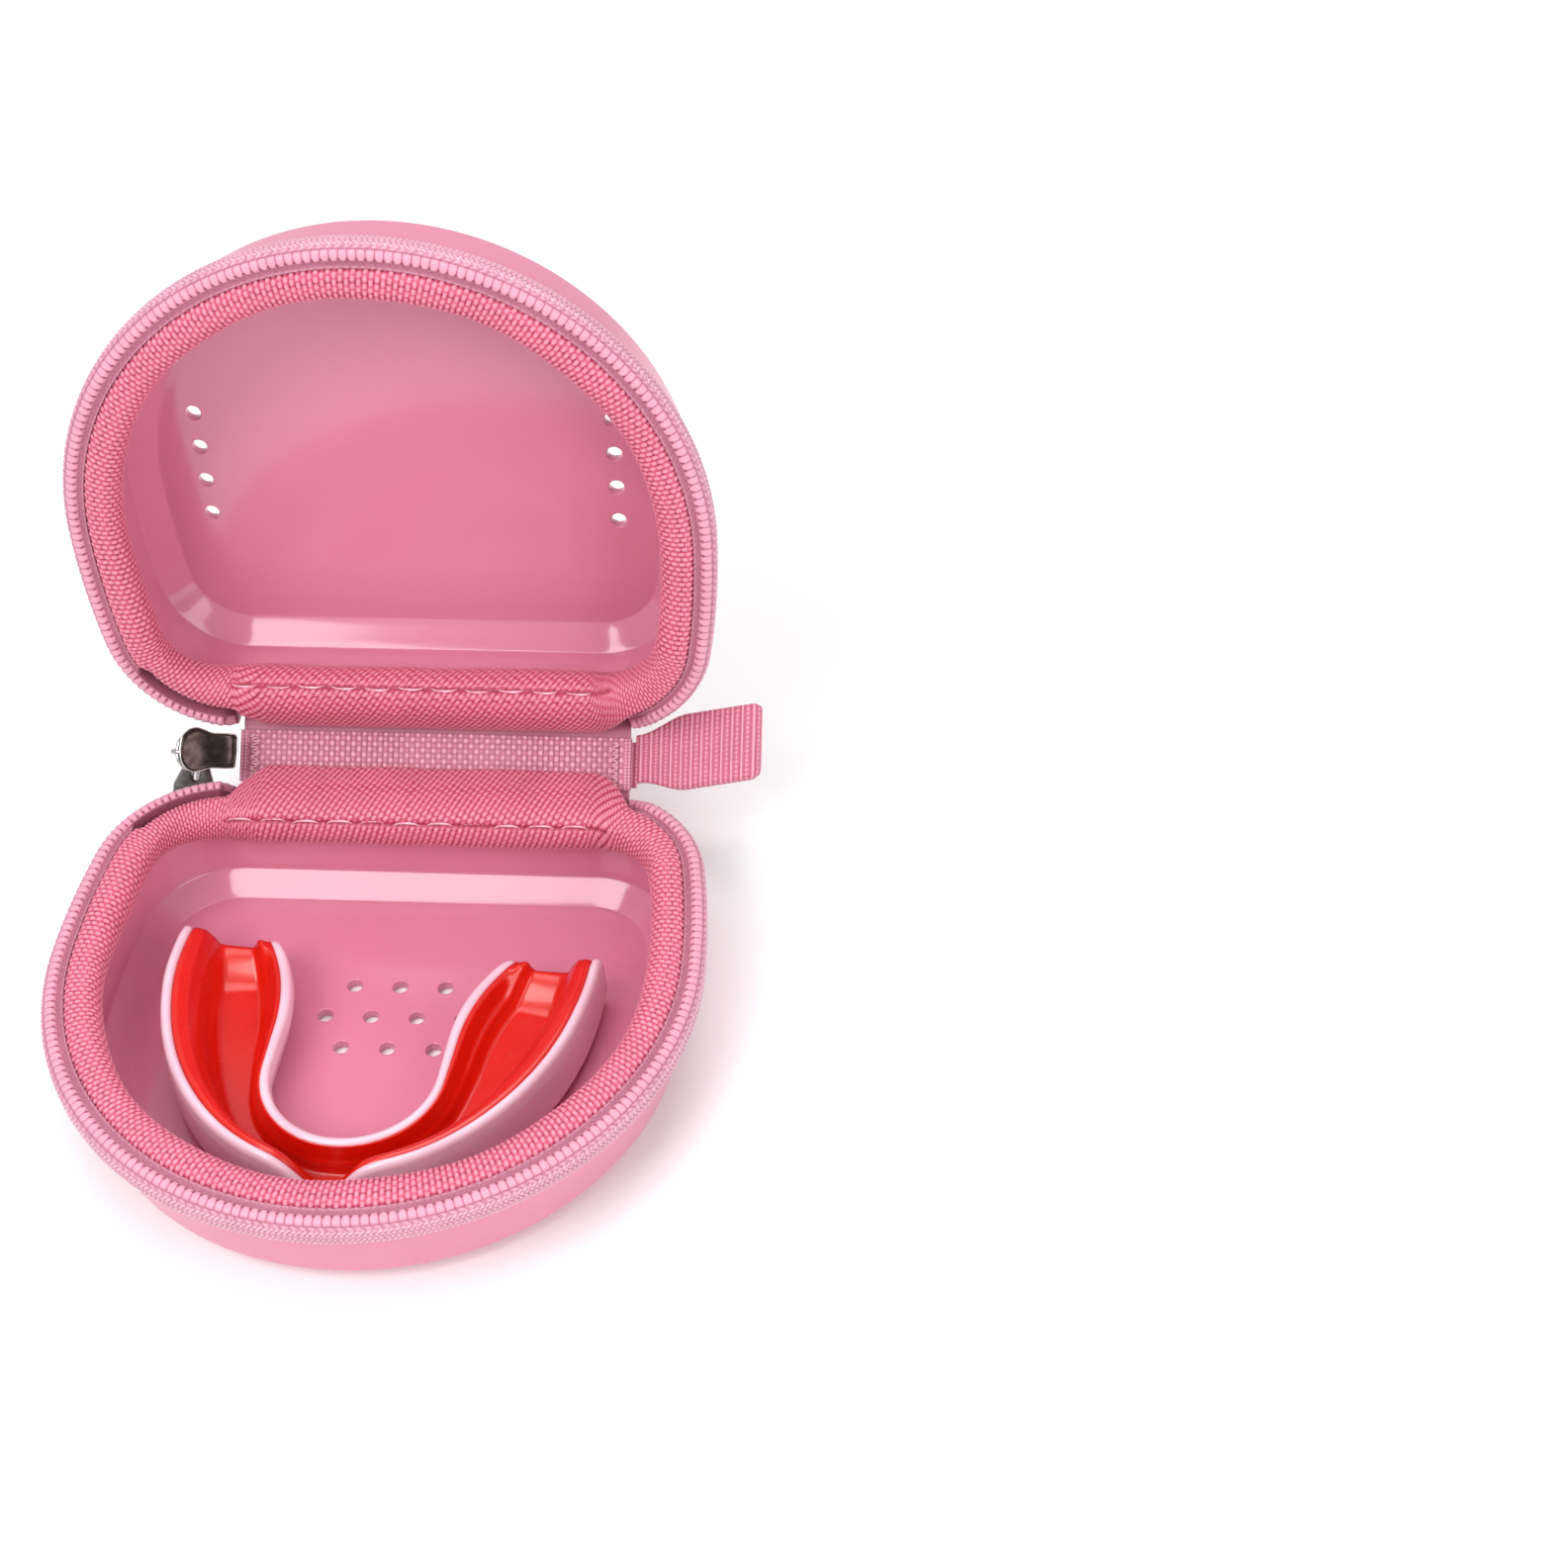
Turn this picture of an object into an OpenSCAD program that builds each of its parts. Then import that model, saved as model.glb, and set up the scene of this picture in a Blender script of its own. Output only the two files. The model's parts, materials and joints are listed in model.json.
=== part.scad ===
// Mouthguard in a hinged, zipped, D-shaped hard case.
// The case is built closed, then the spine and the lid are turned to the open rest pose.
// Origin: on the base's flat bottom, under the centre of the round front. +Y is the hinge side.

/* [Case] */
// Radius of the round front, at the outside of the zip band
case_r = 45; // [44:0.5:46]
// Radius of the long, almost straight sides
side_r = 120; // [110:5:140]
// Angle that each side sweeps before the corner, in degrees
side_sweep = 9; // [8:0.5:10]
// Radius of the two corners at the hinge side
corner_r = 17.6; // [17:0.1:18]
// Height of one half, from its flat crown to the zip's middle
half_h = 19; // [18.6:0.1:20]
// Wall thickness of the hard shells
wall = 1.6; // [1.4:0.1:1.8]
// How far the shell wall sits inside the outside of the zip band
wall_in = 2.6; // [2.5:0.05:2.7]
// How far the wall leans in from its rim to the crown's chamfer
draft = 0.8; // [0.4:0.1:1]
// Width of the chamfer round the crown
chamfer_in = 3.8; // [3:0.1:4.2]
// Height of the chamfer round the crown
chamfer_h = 3.4; // [3:0.1:3.6]

/* [Vent holes] */
// Diameter of each vent hole
vent_d = 2.2; // [1.8:0.1:2.4]
// Distance between neighbouring holes in the base
base_vent_pitch = 6.6; // [6:0.1:7]
// Distance between neighbouring holes in a lid column
lid_vent_pitch = 5.6; // [5:0.1:6]
// Distance of each lid column from the middle
lid_vent_x = 29.8; // [28:0.1:30]

/* [Hinge] */
// Half the height of the fabric spine, from one fold to the other
fold_half = 4.1; // [4:0.05:4.3]
// Distance of both folds from the origin
fold_y = 35.9; // [35.8:0.05:36.2]
// Distance from the middle to the spine's left end, and to the ends of both flanges
spine_half_w = 27; // [26.5:0.5:27]
// Distance from the middle to the spine's right end, where the loop is sewn on
spine_right = 31.5; // [29:0.5:32]
// Opening of the lid at rest, in degrees (0 is closed, 180 lies flat)
lid_open = 95; // [0:1:180]

/* [Zip] */
// Width of the sewn coil, across the rim
coil_w = 1.2; // [1:0.05:1.2]
// Height of the sewn coil on one half
coil_h = 0.8; // [0.7:0.05:0.8]
// Half the gap between the two coils when the lid is shut
coil_gap = 0.5; // [0.5:0.01:0.55]
// Length of the slider
slider_len = 8.4; // [8:0.1:8.6]
// Angle at which the slider parks, past the start of the left corner
slider_park = 20; // [19:0.5:22]

/* [Pull] */
// Thickness of the ring's wire
wire_d = 0.9; // [0.8:0.05:0.9]
// Length of the pull tab
tab_len = 14; // [12:0.5:14]
// Width of the pull tab
tab_w = 6; // [5:0.5:6]
// Angle between the slider and its hanging pull when the case is open, in degrees
pull_hang = 58; // [50:1:60]

/* [Mouthguard] */
// Half the width across the two arms
guard_half_w = 30; // [29:0.5:31]
// Length from the widest part of the arms to the front
guard_len = 38.5; // [37:0.5:39]
// Half the width of the gap between the arms, at the front
tongue_r = 11.4; // [11:0.1:11.8]
// How far the mouthguard lies turned in the case, in degrees
guard_turn = 5; // [0:0.5:6]
// Height of the mouthguard
guard_h = 9.4; // [9:0.1:10]
// Thickness of the pale outer layer
skin_t = 1.3; // [1.2:0.1:1.5]

/* [Loop] */
// Length of the free part of the webbing loop
loop_len = 18.4; // [16:0.2:20]
// Width of the webbing
webbing_w = 10; // [9:0.5:10]

/* [Hidden] */
$fn = 64;
eps = 0.01;

// Points of the case outline
step = 3;
side_cx = case_r - side_r;
corner_cx = side_cx + (side_r - corner_r) * cos(side_sweep);
corner_cy = (side_r - corner_r) * sin(side_sweep);
back_y = corner_cy + corner_r;

// Heights of one half, measured down from the zip's middle
shell_top = 3.1;
tape_bottom = 5.4;
tape_top = coil_gap + coil_h;
binding_bottom = 5;
chamfer_top = half_h - chamfer_h;
wedge_bottom = 4.9;
flap_bottom = 9.8;

// Distances in from the outside of the zip band
coil_in = 0.55;
tape_lean = 1.8;
tape_t = 0.7;
cap_in = 3.0;
binding_in = 7.2;

// Hinge and spine
fold_clear = 0.8;
panel_t = 0.8;
cover_t = 0.7;
cover_left = -18;
tack_in = 2;
tack_w = 1.4;
stitch_count = 9;
stitch_len = 3.2;
stitch_pitch = 5.2;
anchor_len = 7;

// Slider, measured out from the corner's centre
plate_t = 0.7;
inner_plate_r = corner_r - 2.7;
outer_plate_r = corner_r + 0.6;
plate_half_h = 2.7;
post_half_h = 0.35;
bar_r = corner_r + 4;
bar_t = 0.8;
bar_half_w = 0.9;
arch_half = 3.2;
ring_half = 1.5;
ring_drop = 4.9;

// Mouthguard
floor_gap = 0.2;
guard_z = wall + floor_gap;
guard_wide_y = 6;
guard_back_y = 9;
tongue_y = -12.9;
flare_y = -6;
flare_r = 26;
guard_side = -1;
liner_t = 1.1;

function arc(cx, cy, r, from, to, n) =
    [for (i = [0:n]) let (a = from + (to - from) * i / n) [cx + r * cos(a), cy + r * sin(a)]];

function mirrored(points) =
    [for (i = [len(points) - 1:-1:0]) [-points[i][0], points[i][1]]];

// Right half of the outline, from the front to the back, a distance s inside the zip band
function half_outline(s) = concat(
    arc(0, 0, case_r - s, -90, 0, 90 / step),
    arc(side_cx, 0, side_r - s, side_sweep / 3, side_sweep, 2),
    arc(corner_cx, corner_cy, corner_r - s, side_sweep + step, 90, 27));

function outline(s) = concat(half_outline(s), mirrored(half_outline(s)));

// Right half of the mouthguard's outer line, a distance s inside it: a half ellipse that ends at y = back
function guard_wall(s, back) = concat(
    [for (a = [-90:3:0])
        let (n = [cos(a) / guard_half_w, sin(a) / guard_len])
            [guard_half_w * cos(a), guard_wide_y + guard_len * sin(a)] - s * n / norm(n)],
    [[guard_half_w - s, back]]);

// Right half of its inner line: from y = back along the flared arm and round the front of the tongue's gap
function tongue_wall(s, back) =
    let (end = asin((back - flare_y) / (flare_r - s)))
        concat(arc(tongue_r + flare_r, flare_y, flare_r - s, 180 - end, 180, 12),
               arc(0, tongue_y, tongue_r + s, 0, -90, 24));

function guard_outline(s, back) = concat(mirrored(guard_wall(s, back)), guard_wall(s, back),
    tongue_wall(s, back), mirrored(tongue_wall(s, back)));

// A flat plate of the outline, from depth "low" up to depth "high" below the zip's middle
module plate(s, low, high) {
    translate([0, 0, half_h - low])
        linear_extrude(low - high) polygon(outline(s));
}

// The space between two outlines, at two depths
module loft(s_low, low, s_high, high) {
    hull() {
        plate(s_low, low, low - eps);
        plate(s_high, high + eps, high);
    }
}

// Outer surface of the hard shell, a distance t inside it
module shell_form(t, rim) {
    loft(wall_in + draft + t, chamfer_top, wall_in + t, rim);
    loft(wall_in + draft + chamfer_in + t * 0.6, half_h - t, wall_in + draft + t, chamfer_top);
}

module hard_shell() {
    difference() {
        shell_form(0, shell_top);
        shell_form(wall, shell_top - 1);
        children();
    }
}

// Room at the hinge side where the spine takes the zip's place
module spine_room() {
    translate([-spine_half_w - 0.4, corner_cy, half_h - 20])
        cube([spine_half_w + spine_right + 0.8, 40, 40]);
}

// Room beside the spine where the slider parks when the case is open
module parking_room() {
    rotate_about_corner(slider_park)
        translate([-7.5, corner_r - 4.4, half_h - 6]) cube([15, 9, 12]);
}

module zip_tape() {
    difference() {
        loft(tape_lean, tape_bottom, 0, tape_top);
        loft(tape_lean + tape_t, tape_bottom + eps, tape_t, tape_top - eps);
        shell_form(0, shell_top);
        spine_room();
        parking_room();
    }
}

module zip_coil() {
    difference() {
        plate(coil_in, tape_top, coil_gap);
        plate(coil_in + coil_w, tape_top + 1, coil_gap - 1);
        spine_room();
        parking_room();
    }
}

// Fabric roll that hides the shell's rim, with the wide flange at the hinge side
module binding() {
    difference() {
        union() {
            plate(wall_in + wall + 0.3, binding_bottom, shell_top - eps);
            plate(cap_in, shell_top - eps, 0.7);
            plate(cap_in + 1, 0.71, 0.4);
            wedge();
        }
        plate(binding_in, binding_bottom + 1, -1);
    }
}

// Flange of the binding that reaches back to the fold
module wedge() {
    rim_y = back_y - cap_in;
    edge_y = fold_y - fold_clear;
    translate([-spine_half_w, 0, half_h]) rotate([90, 0, 90])
        linear_extrude(2 * spine_half_w)
            polygon([[rim_y - 0.2, -shell_top + 0.1], [rim_y - 0.2, -0.8], [rim_y + 1.5, -1.4],
                     [edge_y, -3.9], [edge_y, -wedge_bottom], [rim_y + 0.6, -wedge_bottom],
                     [rim_y + 0.6, -shell_top + 0.1]]);
}

// Outer fabric that runs from the fold down the shell's back wall
module hinge_flap() {
    wall_y = back_y - wall_in + 0.05;
    edge_y = fold_y - fold_clear;
    translate([-spine_half_w + 1, 0, half_h]) rotate([90, 0, 90])
        linear_extrude(2 * spine_half_w - 2)
            polygon([[wall_y, -wedge_bottom - 0.05], [edge_y, -wedge_bottom - 0.05],
                     [edge_y - 0.9, -wedge_bottom - 1.8], [wall_y + 0.9, -flap_bottom],
                     [wall_y, -flap_bottom]]);
}

// Row of lockstitches along the flange at the hinge side
module hinge_stitches() {
    for (i = [0:stitch_count - 1])
        translate([(i - (stitch_count - 1) / 2) * stitch_pitch - stitch_len / 2,
                   back_y - binding_in + 0.6, half_h - 0.4])
            cube([stitch_len, 0.4, 0.25]);
}

module base_vents() {
    for (row = [-1:1], i = [0:2 + (row == 0 ? 1 : 0)])
        translate([(i - (row == 0 ? 1.5 : 1)) * base_vent_pitch,
                   2.7 + row * base_vent_pitch * sin(60), -1])
            cylinder(d = vent_d, h = wall + 2);
}

module lid_vents() {
    for (side = [-1, 1], i = [0:3])
        translate([side * lid_vent_x, -1.9 + (i - 1.5) * lid_vent_pitch, -1])
            cylinder(d = vent_d, h = wall + 2);
}

// Turn about the centre of the left corner, from the back towards the side
module rotate_about_corner(angle) {
    translate([-corner_cx, corner_cy, 0]) rotate([0, 0, angle]) children();
}

// The spine turns by half the opening about the lower fold
module on_spine() {
    translate([0, fold_y, half_h - fold_half]) rotate([-lid_open / 2, 0, 0])
        translate([0, -fold_y, fold_half - half_h]) children();
}

// The lid turns by the other half about the upper fold
module on_lid() {
    on_spine() translate([0, fold_y, half_h + fold_half]) rotate([-lid_open / 2, 0, 0])
        translate([0, -fold_y, half_h - fold_half]) mirror([0, 0, 1]) children();
}

module base_shell() {
    color("hotpink") hard_shell() base_vents();
}

module base_zip_tape() {
    color("pink") zip_tape();
}

module base_zip_coil() {
    color("lightpink") zip_coil();
}

module base_binding() {
    color("palevioletred") binding();
}

module base_hinge_flap() {
    color("pink") hinge_flap();
}

module base_hinge_stitches() {
    color("mistyrose") hinge_stitches();
}

module lid_shell() {
    color("hotpink") on_lid() hard_shell() lid_vents();
}

module lid_zip_tape() {
    color("pink") on_lid() zip_tape();
}

module lid_zip_coil() {
    color("lightpink") on_lid() zip_coil();
}

module lid_binding() {
    color("palevioletred") on_lid() binding();
}

module lid_hinge_flap() {
    color("pink") on_lid() hinge_flap();
}

module lid_hinge_stitches() {
    color("mistyrose") on_lid() hinge_stitches();
}

module spine_panel() {
    h = fold_half - 0.35;
    color("lightpink") on_spine()
        translate([-spine_half_w, fold_y - panel_t / 2, half_h - h])
            cube([spine_half_w + spine_right, panel_t, 2 * h]);
}

module spine_cover() {
    h = fold_half - 0.6;
    color("pink") on_spine()
        translate([cover_left, fold_y + panel_t / 2, half_h - h])
            cube([spine_right - cover_left, cover_t, 2 * h]);
}

module spine_bar_tacks() {
    color("mistyrose") on_spine() for (x = [-spine_half_w + tack_in, spine_right - tack_in])
        translate([x - tack_w / 2, fold_y - panel_t / 2 - 0.3, half_h - 2.6])
            cube([tack_w, 0.3, 5.2]);
}

// Sewn end of the loop's webbing, on the outside of the spine
module loop_anchor() {
    color("pink") on_spine()
        translate([spine_right - 0.2 - anchor_len, fold_y + panel_t / 2 + cover_t, half_h - 3.3])
            cube([anchor_len, 1.2, 6.6]);
}

// Flattened loop of webbing: two layers, joined by a round end
module webbing_loop() {
    t = 1.1;
    end_r = 2.1;
    root_x = spine_right + 0.8;
    end_x = root_x + loop_len - end_r;
    mid_y = fold_y + panel_t / 2 + cover_t + end_r - 0.4;
    outer = concat(arc(end_x, mid_y, end_r, -90, 90, 24),
                   [[root_x, mid_y - end_r / 2 + 1.7], [root_x, mid_y - end_r / 2 - 0.5]]);
    inner = concat(arc(end_x, mid_y, end_r - t, -90, 90, 24), [[root_x + 4, mid_y - 0.4]]);
    color("pink") on_spine() translate([0, 0, half_h - webbing_w / 2])
        linear_extrude(webbing_w) difference() {
            polygon(outer);
            polygon(inner);
        }
}

// Shield outline of the slider's plates: wide at the zip's open side, narrow behind
module slider_outline() {
    l = slider_len / 2;
    h = plate_half_h;
    polygon([[-l, -h + 1.3], [-l + 0.6, -h + 0.4], [-l + 1.6, -h], [-l + 4, -h], [0.6, -h + 0.6],
             [l - 0.6, -h + 0.6], [l, -h + 1.2], [l, h - 1.2], [l - 0.6, h - 0.6], [0.6, h - 0.6],
             [-l + 4, h], [-l + 1.6, h], [-l + 0.6, h - 0.4], [-l, h - 1.3]]);
}

// A plate bent round the corner's centre, between two radii
module slider_plate(r_in, r_out) {
    intersection() {
        translate([0, 0, half_h - 5]) difference() {
            cylinder(r = r_out, h = 10, $fn = 128);
            translate([0, 0, -1]) cylinder(r = r_in, h = 12, $fn = 128);
        }
        translate([0, 30, half_h]) rotate([90, 0, 0]) linear_extrude(30) slider_outline();
    }
}

// The slider sits on the line of the closed zip, and turns with the spine
module on_slider() {
    on_spine() rotate_about_corner(slider_park) children();
}

// The pull swings out from the slider, about the bridge's bar
module on_pull() {
    on_slider() translate([0, bar_r, half_h]) rotate([pull_hang, 0, 0])
        translate([0, -bar_r, -half_h]) children();
}

// Casting: inner and outer plate, joined by a post between the two coils
module slider_body() {
    color("silver") on_slider() {
        slider_plate(inner_plate_r, inner_plate_r + plate_t);
        slider_plate(outer_plate_r, outer_plate_r + plate_t);
        translate([-slider_len / 2 + 0.8, inner_plate_r + plate_t / 2, half_h - post_half_h])
            cube([3, outer_plate_r - inner_plate_r, 2 * post_half_h]);
    }
}

// Arch on the outer plate that the ring hangs from
module slider_bridge() {
    foot_r = outer_plate_r + plate_t + 0.02;
    top_r = bar_r + bar_t / 2;
    low_r = bar_r - bar_t / 2;
    a = arch_half;
    color("silver") on_slider()
        translate([0, 0, half_h - bar_half_w]) linear_extrude(2 * bar_half_w)
            polygon([[-a, foot_r], [-a + 0.9, foot_r], [-a + 1.5, low_r], [a - 1.5, low_r],
                     [a - 0.9, foot_r], [a, foot_r], [a - 0.5, top_r - 0.6], [a - 1.2, top_r],
                     [-a + 1.2, top_r], [-a + 0.5, top_r - 0.6]]);
}

// Wire ring round the bridge's bar, with its long end hanging down
module pull_ring() {
    top_z = half_h + ring_half;
    end_z = half_h - ring_drop;
    color("silver") on_pull() {
        for (side = [-1, 1]) {
            translate([0, bar_r + side * ring_half, end_z]) cylinder(d = wire_d, h = top_z - end_z);
            for (z = [end_z, top_z]) translate([0, bar_r + side * ring_half, z]) sphere(d = wire_d);
        }
        for (z = [end_z, top_z])
            translate([0, bar_r - ring_half, z]) rotate([-90, 0, 0])
                cylinder(d = wire_d, h = 2 * ring_half);
    }
}

// Flat tab that hangs on the ring by its eye
module pull_tab() {
    eye_r = wire_d / 2 + 0.35;
    head = 1.9;
    l = tab_len - head - tab_w / 2;
    color("dimgray") on_pull()
        translate([0, bar_r + 0.45, half_h - ring_drop]) rotate([90, 0, 0])
            linear_extrude(0.9) difference() {
                polygon(concat([[1.4, head], [2, head - 0.6], [tab_w / 2, -3]],
                               arc(0, -l, tab_w / 2, 0, -180, 24),
                               [[-tab_w / 2, -3], [-2, head - 0.6], [-1.4, head]]));
                circle(r = eye_r);
            }
}

// The mouthguard lies on the base's floor, a little turned
module on_floor() {
    translate([guard_side, 0, guard_z]) rotate([0, 0, -guard_turn]) children();
}

// Pale outer layer: a U-shaped tray with open ends and a notch at the front
module mouthguard_skin() {
    color("mistyrose") on_floor() difference() {
        linear_extrude(guard_h) polygon(guard_outline(0, guard_back_y));
        translate([0, 0, skin_t]) linear_extrude(guard_h)
            polygon(guard_outline(skin_t, guard_back_y + 1));
        front_notch();
    }
}

// Red inner layer: the bite channel
module mouthguard_liner() {
    h = guard_h - skin_t - 0.5;
    color("red") on_floor() difference() {
        translate([0, 0, skin_t]) linear_extrude(h) polygon(guard_outline(skin_t, guard_back_y));
        translate([0, 0, skin_t + liner_t]) linear_extrude(h)
            polygon(guard_outline(skin_t + liner_t, guard_back_y + 1));
        front_notch();
    }
}

module front_notch() {
    translate([0, guard_wide_y - guard_len - 0.4, guard_h - 3]) cylinder(r = 3, h = 5);
}

base_shell();
base_zip_tape();
base_zip_coil();
base_binding();
base_hinge_flap();
base_hinge_stitches();
lid_shell();
lid_zip_tape();
lid_zip_coil();
lid_binding();
lid_hinge_flap();
lid_hinge_stitches();
spine_panel();
spine_cover();
spine_bar_tacks();
loop_anchor();
webbing_loop();
slider_body();
slider_bridge();
pull_ring();
pull_tab();
mouthguard_skin();
mouthguard_liner();
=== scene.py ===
"""Looks of a zipped mouthguard case with its mouthguard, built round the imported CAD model.

Shapes are worked out in millimetres in the CAD frame and written in metres. The case outline is the
CAD one: a round front, long side arcs, two corner arcs and a straight hinge side.
"""

import json
import math

import bmesh
import bpy
import numpy as np
from mathutils import Matrix, Vector
from mathutils.geometry import delaunay_2d_cdt


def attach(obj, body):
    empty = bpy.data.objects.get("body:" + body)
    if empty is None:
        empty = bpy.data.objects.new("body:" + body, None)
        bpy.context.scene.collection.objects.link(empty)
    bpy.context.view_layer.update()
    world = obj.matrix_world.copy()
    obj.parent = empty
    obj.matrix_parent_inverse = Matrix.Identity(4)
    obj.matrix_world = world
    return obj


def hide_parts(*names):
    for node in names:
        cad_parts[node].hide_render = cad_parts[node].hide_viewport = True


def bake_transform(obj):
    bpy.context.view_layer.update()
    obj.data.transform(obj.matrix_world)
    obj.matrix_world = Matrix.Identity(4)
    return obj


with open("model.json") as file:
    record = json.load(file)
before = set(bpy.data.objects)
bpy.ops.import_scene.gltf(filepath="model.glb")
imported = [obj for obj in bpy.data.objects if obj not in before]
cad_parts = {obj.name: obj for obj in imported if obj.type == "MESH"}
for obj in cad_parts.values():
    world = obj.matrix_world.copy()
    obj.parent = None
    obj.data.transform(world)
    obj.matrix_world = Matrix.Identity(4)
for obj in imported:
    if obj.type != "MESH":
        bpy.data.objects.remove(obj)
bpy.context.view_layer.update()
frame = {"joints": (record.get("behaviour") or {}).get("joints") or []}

MM = 0.001
joints = {j["name"]: j for j in frame["joints"]}


def joint_mm(name):
    """Place of a joint, in millimetres."""
    return np.array(joints[name]["pos_m"]) / MM


# --- driving dimensions, in mm
CASE_R = 45.0
SIDE_R = 120.0
SIDE_SWEEP = math.radians(9)
CORNER_R = 17.6
WALL_IN = 2.6
DRAFT = 0.8
WALL = 1.6
SHELL_TOP = 3.1
HALF_H = 19.0
LOWER_FOLD = joint_mm("spine_fold")
FOLD_HALF = HALF_H - LOWER_FOLD[2]
HALF_OPEN = math.radians(-joints["spine_fold"]["range_deg"][0])
SIDE_END = CASE_R - SIDE_R + (SIDE_R - CORNER_R) * math.cos(SIDE_SWEEP)
CORNER = np.array([SIDE_END, (SIDE_R - CORNER_R) * math.sin(SIDE_SWEEP)])
BACK_Y = CORNER[1] + CORNER_R
SPINE_HALF = 27.0
SPINE_RIGHT = 31.5

# --- the case outline
FRONT_LEN = CASE_R * math.pi / 2
SIDE_LEN = SIDE_R * SIDE_SWEEP
CORNER_LEN = CORNER_R * (math.pi / 2 - SIDE_SWEEP)
TO_SIDE = FRONT_LEN + SIDE_LEN
TO_BACK = TO_SIDE + CORNER_LEN
HALF_LEN = TO_BACK + CORNER[0]


def rim(length):
    """Points and outward normals of the outline at distances from the front middle, right side positive."""
    a = np.abs(length)
    angle = np.where(a < FRONT_LEN, a / CASE_R - math.pi / 2, (a - FRONT_LEN) / SIDE_R)
    angle = np.where(a > TO_SIDE, SIDE_SWEEP + (a - TO_SIDE) / CORNER_R, angle)
    angle = np.minimum(angle, math.pi / 2)
    radius = np.where(a < FRONT_LEN, CASE_R, np.where(a < TO_SIDE, SIDE_R, CORNER_R))
    cx = np.where(a < FRONT_LEN, 0, np.where(a < TO_SIDE, CASE_R - SIDE_R, CORNER[0]))
    cy = np.where(a < TO_SIDE, 0, CORNER[1])
    cx = np.where(a > TO_BACK, HALF_LEN - a, cx)
    side = np.where(length < 0, -1.0, 1.0)
    normal = np.stack([np.cos(angle) * side, np.sin(angle)], -1)
    point = np.stack([(cx + radius * np.cos(angle)) * side, cy + radius * np.sin(angle)], -1)
    return point, normal


def on_rim(length, inset, depth):
    """Points at insets from the outline and depths below the zip's middle, given as stations x profile."""
    point, normal = rim(length)
    xy = point[:, None, :] - normal[:, None, :] * inset[..., None]
    z = (HALF_H - depth)[..., None] * np.ones((len(length), inset.shape[-1], 1))
    return np.concatenate([xy, z], -1)


# --- where the spine and the lid are at rest
def turned_about(point, angle):
    """Turn about an axis along X through a point, in mm."""
    there = Matrix.Translation(Vector(point))
    return there @ Matrix.Rotation(-angle, 4, "X") @ there.inverted()


ON_SPINE = turned_about(LOWER_FOLD, HALF_OPEN)
UPPER_CLOSED = LOWER_FOLD + np.array([0, 0, 2 * FOLD_HALF])
ON_LID = (
    ON_SPINE
    @ turned_about(UPPER_CLOSED, HALF_OPEN)
    @ Matrix.Translation((0, 0, 2 * HALF_H))
    @ Matrix.Scale(-1, 4, (0, 0, 1))
)
ON_BASE = Matrix.Identity(4)
HALVES = {"base": ON_BASE, "lid": ON_LID}


def placed(points, matrix):
    """Points in mm, moved by a matrix."""
    m = np.array(matrix)
    flat = np.asarray(points, float).reshape(-1, 3)
    return flat @ m[:3, :3].T + m[:3, 3]


# --- mesh helpers
def smoothstep(x, low, high):
    """0 below low, 1 above high, and a smooth rise between them."""
    t = np.clip((x - low) / (high - low), 0, 1)
    return t * t * (3 - 2 * t)


def make_mesh(name, points, faces, matrix=ON_BASE, attributes=None, solid=True):
    """Object from points in mm, smooth except for its triangles; attributes holds one number a point."""
    data = bpy.data.meshes.new(name)
    data.from_pydata((placed(points, matrix) * MM).tolist(), [], faces)
    for key, values in (attributes or {}).items():
        layer = data.attributes.new(key, "FLOAT", "POINT")
        layer.data.foreach_set("value", np.asarray(values, np.float32).ravel())
    bm = bmesh.new()
    bm.from_mesh(data)
    if solid:
        bmesh.ops.remove_doubles(bm, verts=bm.verts, dist=2e-7)
        bmesh.ops.recalc_face_normals(bm, faces=bm.faces)
    for f in bm.faces:
        f.smooth = len(f.verts) != 3
    bm.to_mesh(data)
    bm.free()
    obj = bpy.data.objects.new(name, data)
    bpy.context.scene.collection.objects.link(obj)
    return obj


def grid_faces(n, m, closed_n=False, closed_m=False, start=0):
    """Quads of an n x m grid of points."""
    i = np.arange(n if closed_n else n - 1)
    j = np.arange(m if closed_m else m - 1)
    i, j = (a.ravel() for a in np.meshgrid(i, j, indexing="ij"))
    i2, j2 = (i + 1) % n, (j + 1) % m
    return (np.stack([i * m + j, i2 * m + j, i2 * m + j2, i * m + j2], 1) + start).tolist()


def tube_faces(n, m, start=0):
    """Faces of a tube of n rings of m points, with both ends closed."""
    last = start + (n - 1) * m
    ends = [list(range(start, start + m)), list(range(last, last + m))]
    return grid_faces(n, m, False, True, start) + ends


def sheet(front, back):
    """A sheet from its two sides, each rows x columns: points and faces, closed at both end rows."""
    loop = np.concatenate([front, back[:, ::-1]], 1)
    n, m = loop.shape[:2]
    faces = grid_faces(n, m, False, True)
    for row in (0, n - 1):
        for k in range(front.shape[1] - 1):
            faces.append([row * m + k, row * m + k + 1, row * m + m - 2 - k, row * m + m - 1 - k])
    return loop, faces


def unit(v):
    """Vectors scaled to length 1."""
    return v / np.linalg.norm(v, axis=-1, keepdims=True)


def finish_piece(obj, body, material, replaces=(), blend=None):
    """Material, slot and body of a piece, and the CAD nodes that it stands for. A piece given blend gets no
    body: its transform is only baked into its points.
    """
    obj.data.materials.clear()
    obj.data.materials.append(material)
    if blend:
        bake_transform(obj)
    else:
        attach(obj, body)
    if replaces:
        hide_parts(*replaces)


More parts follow.
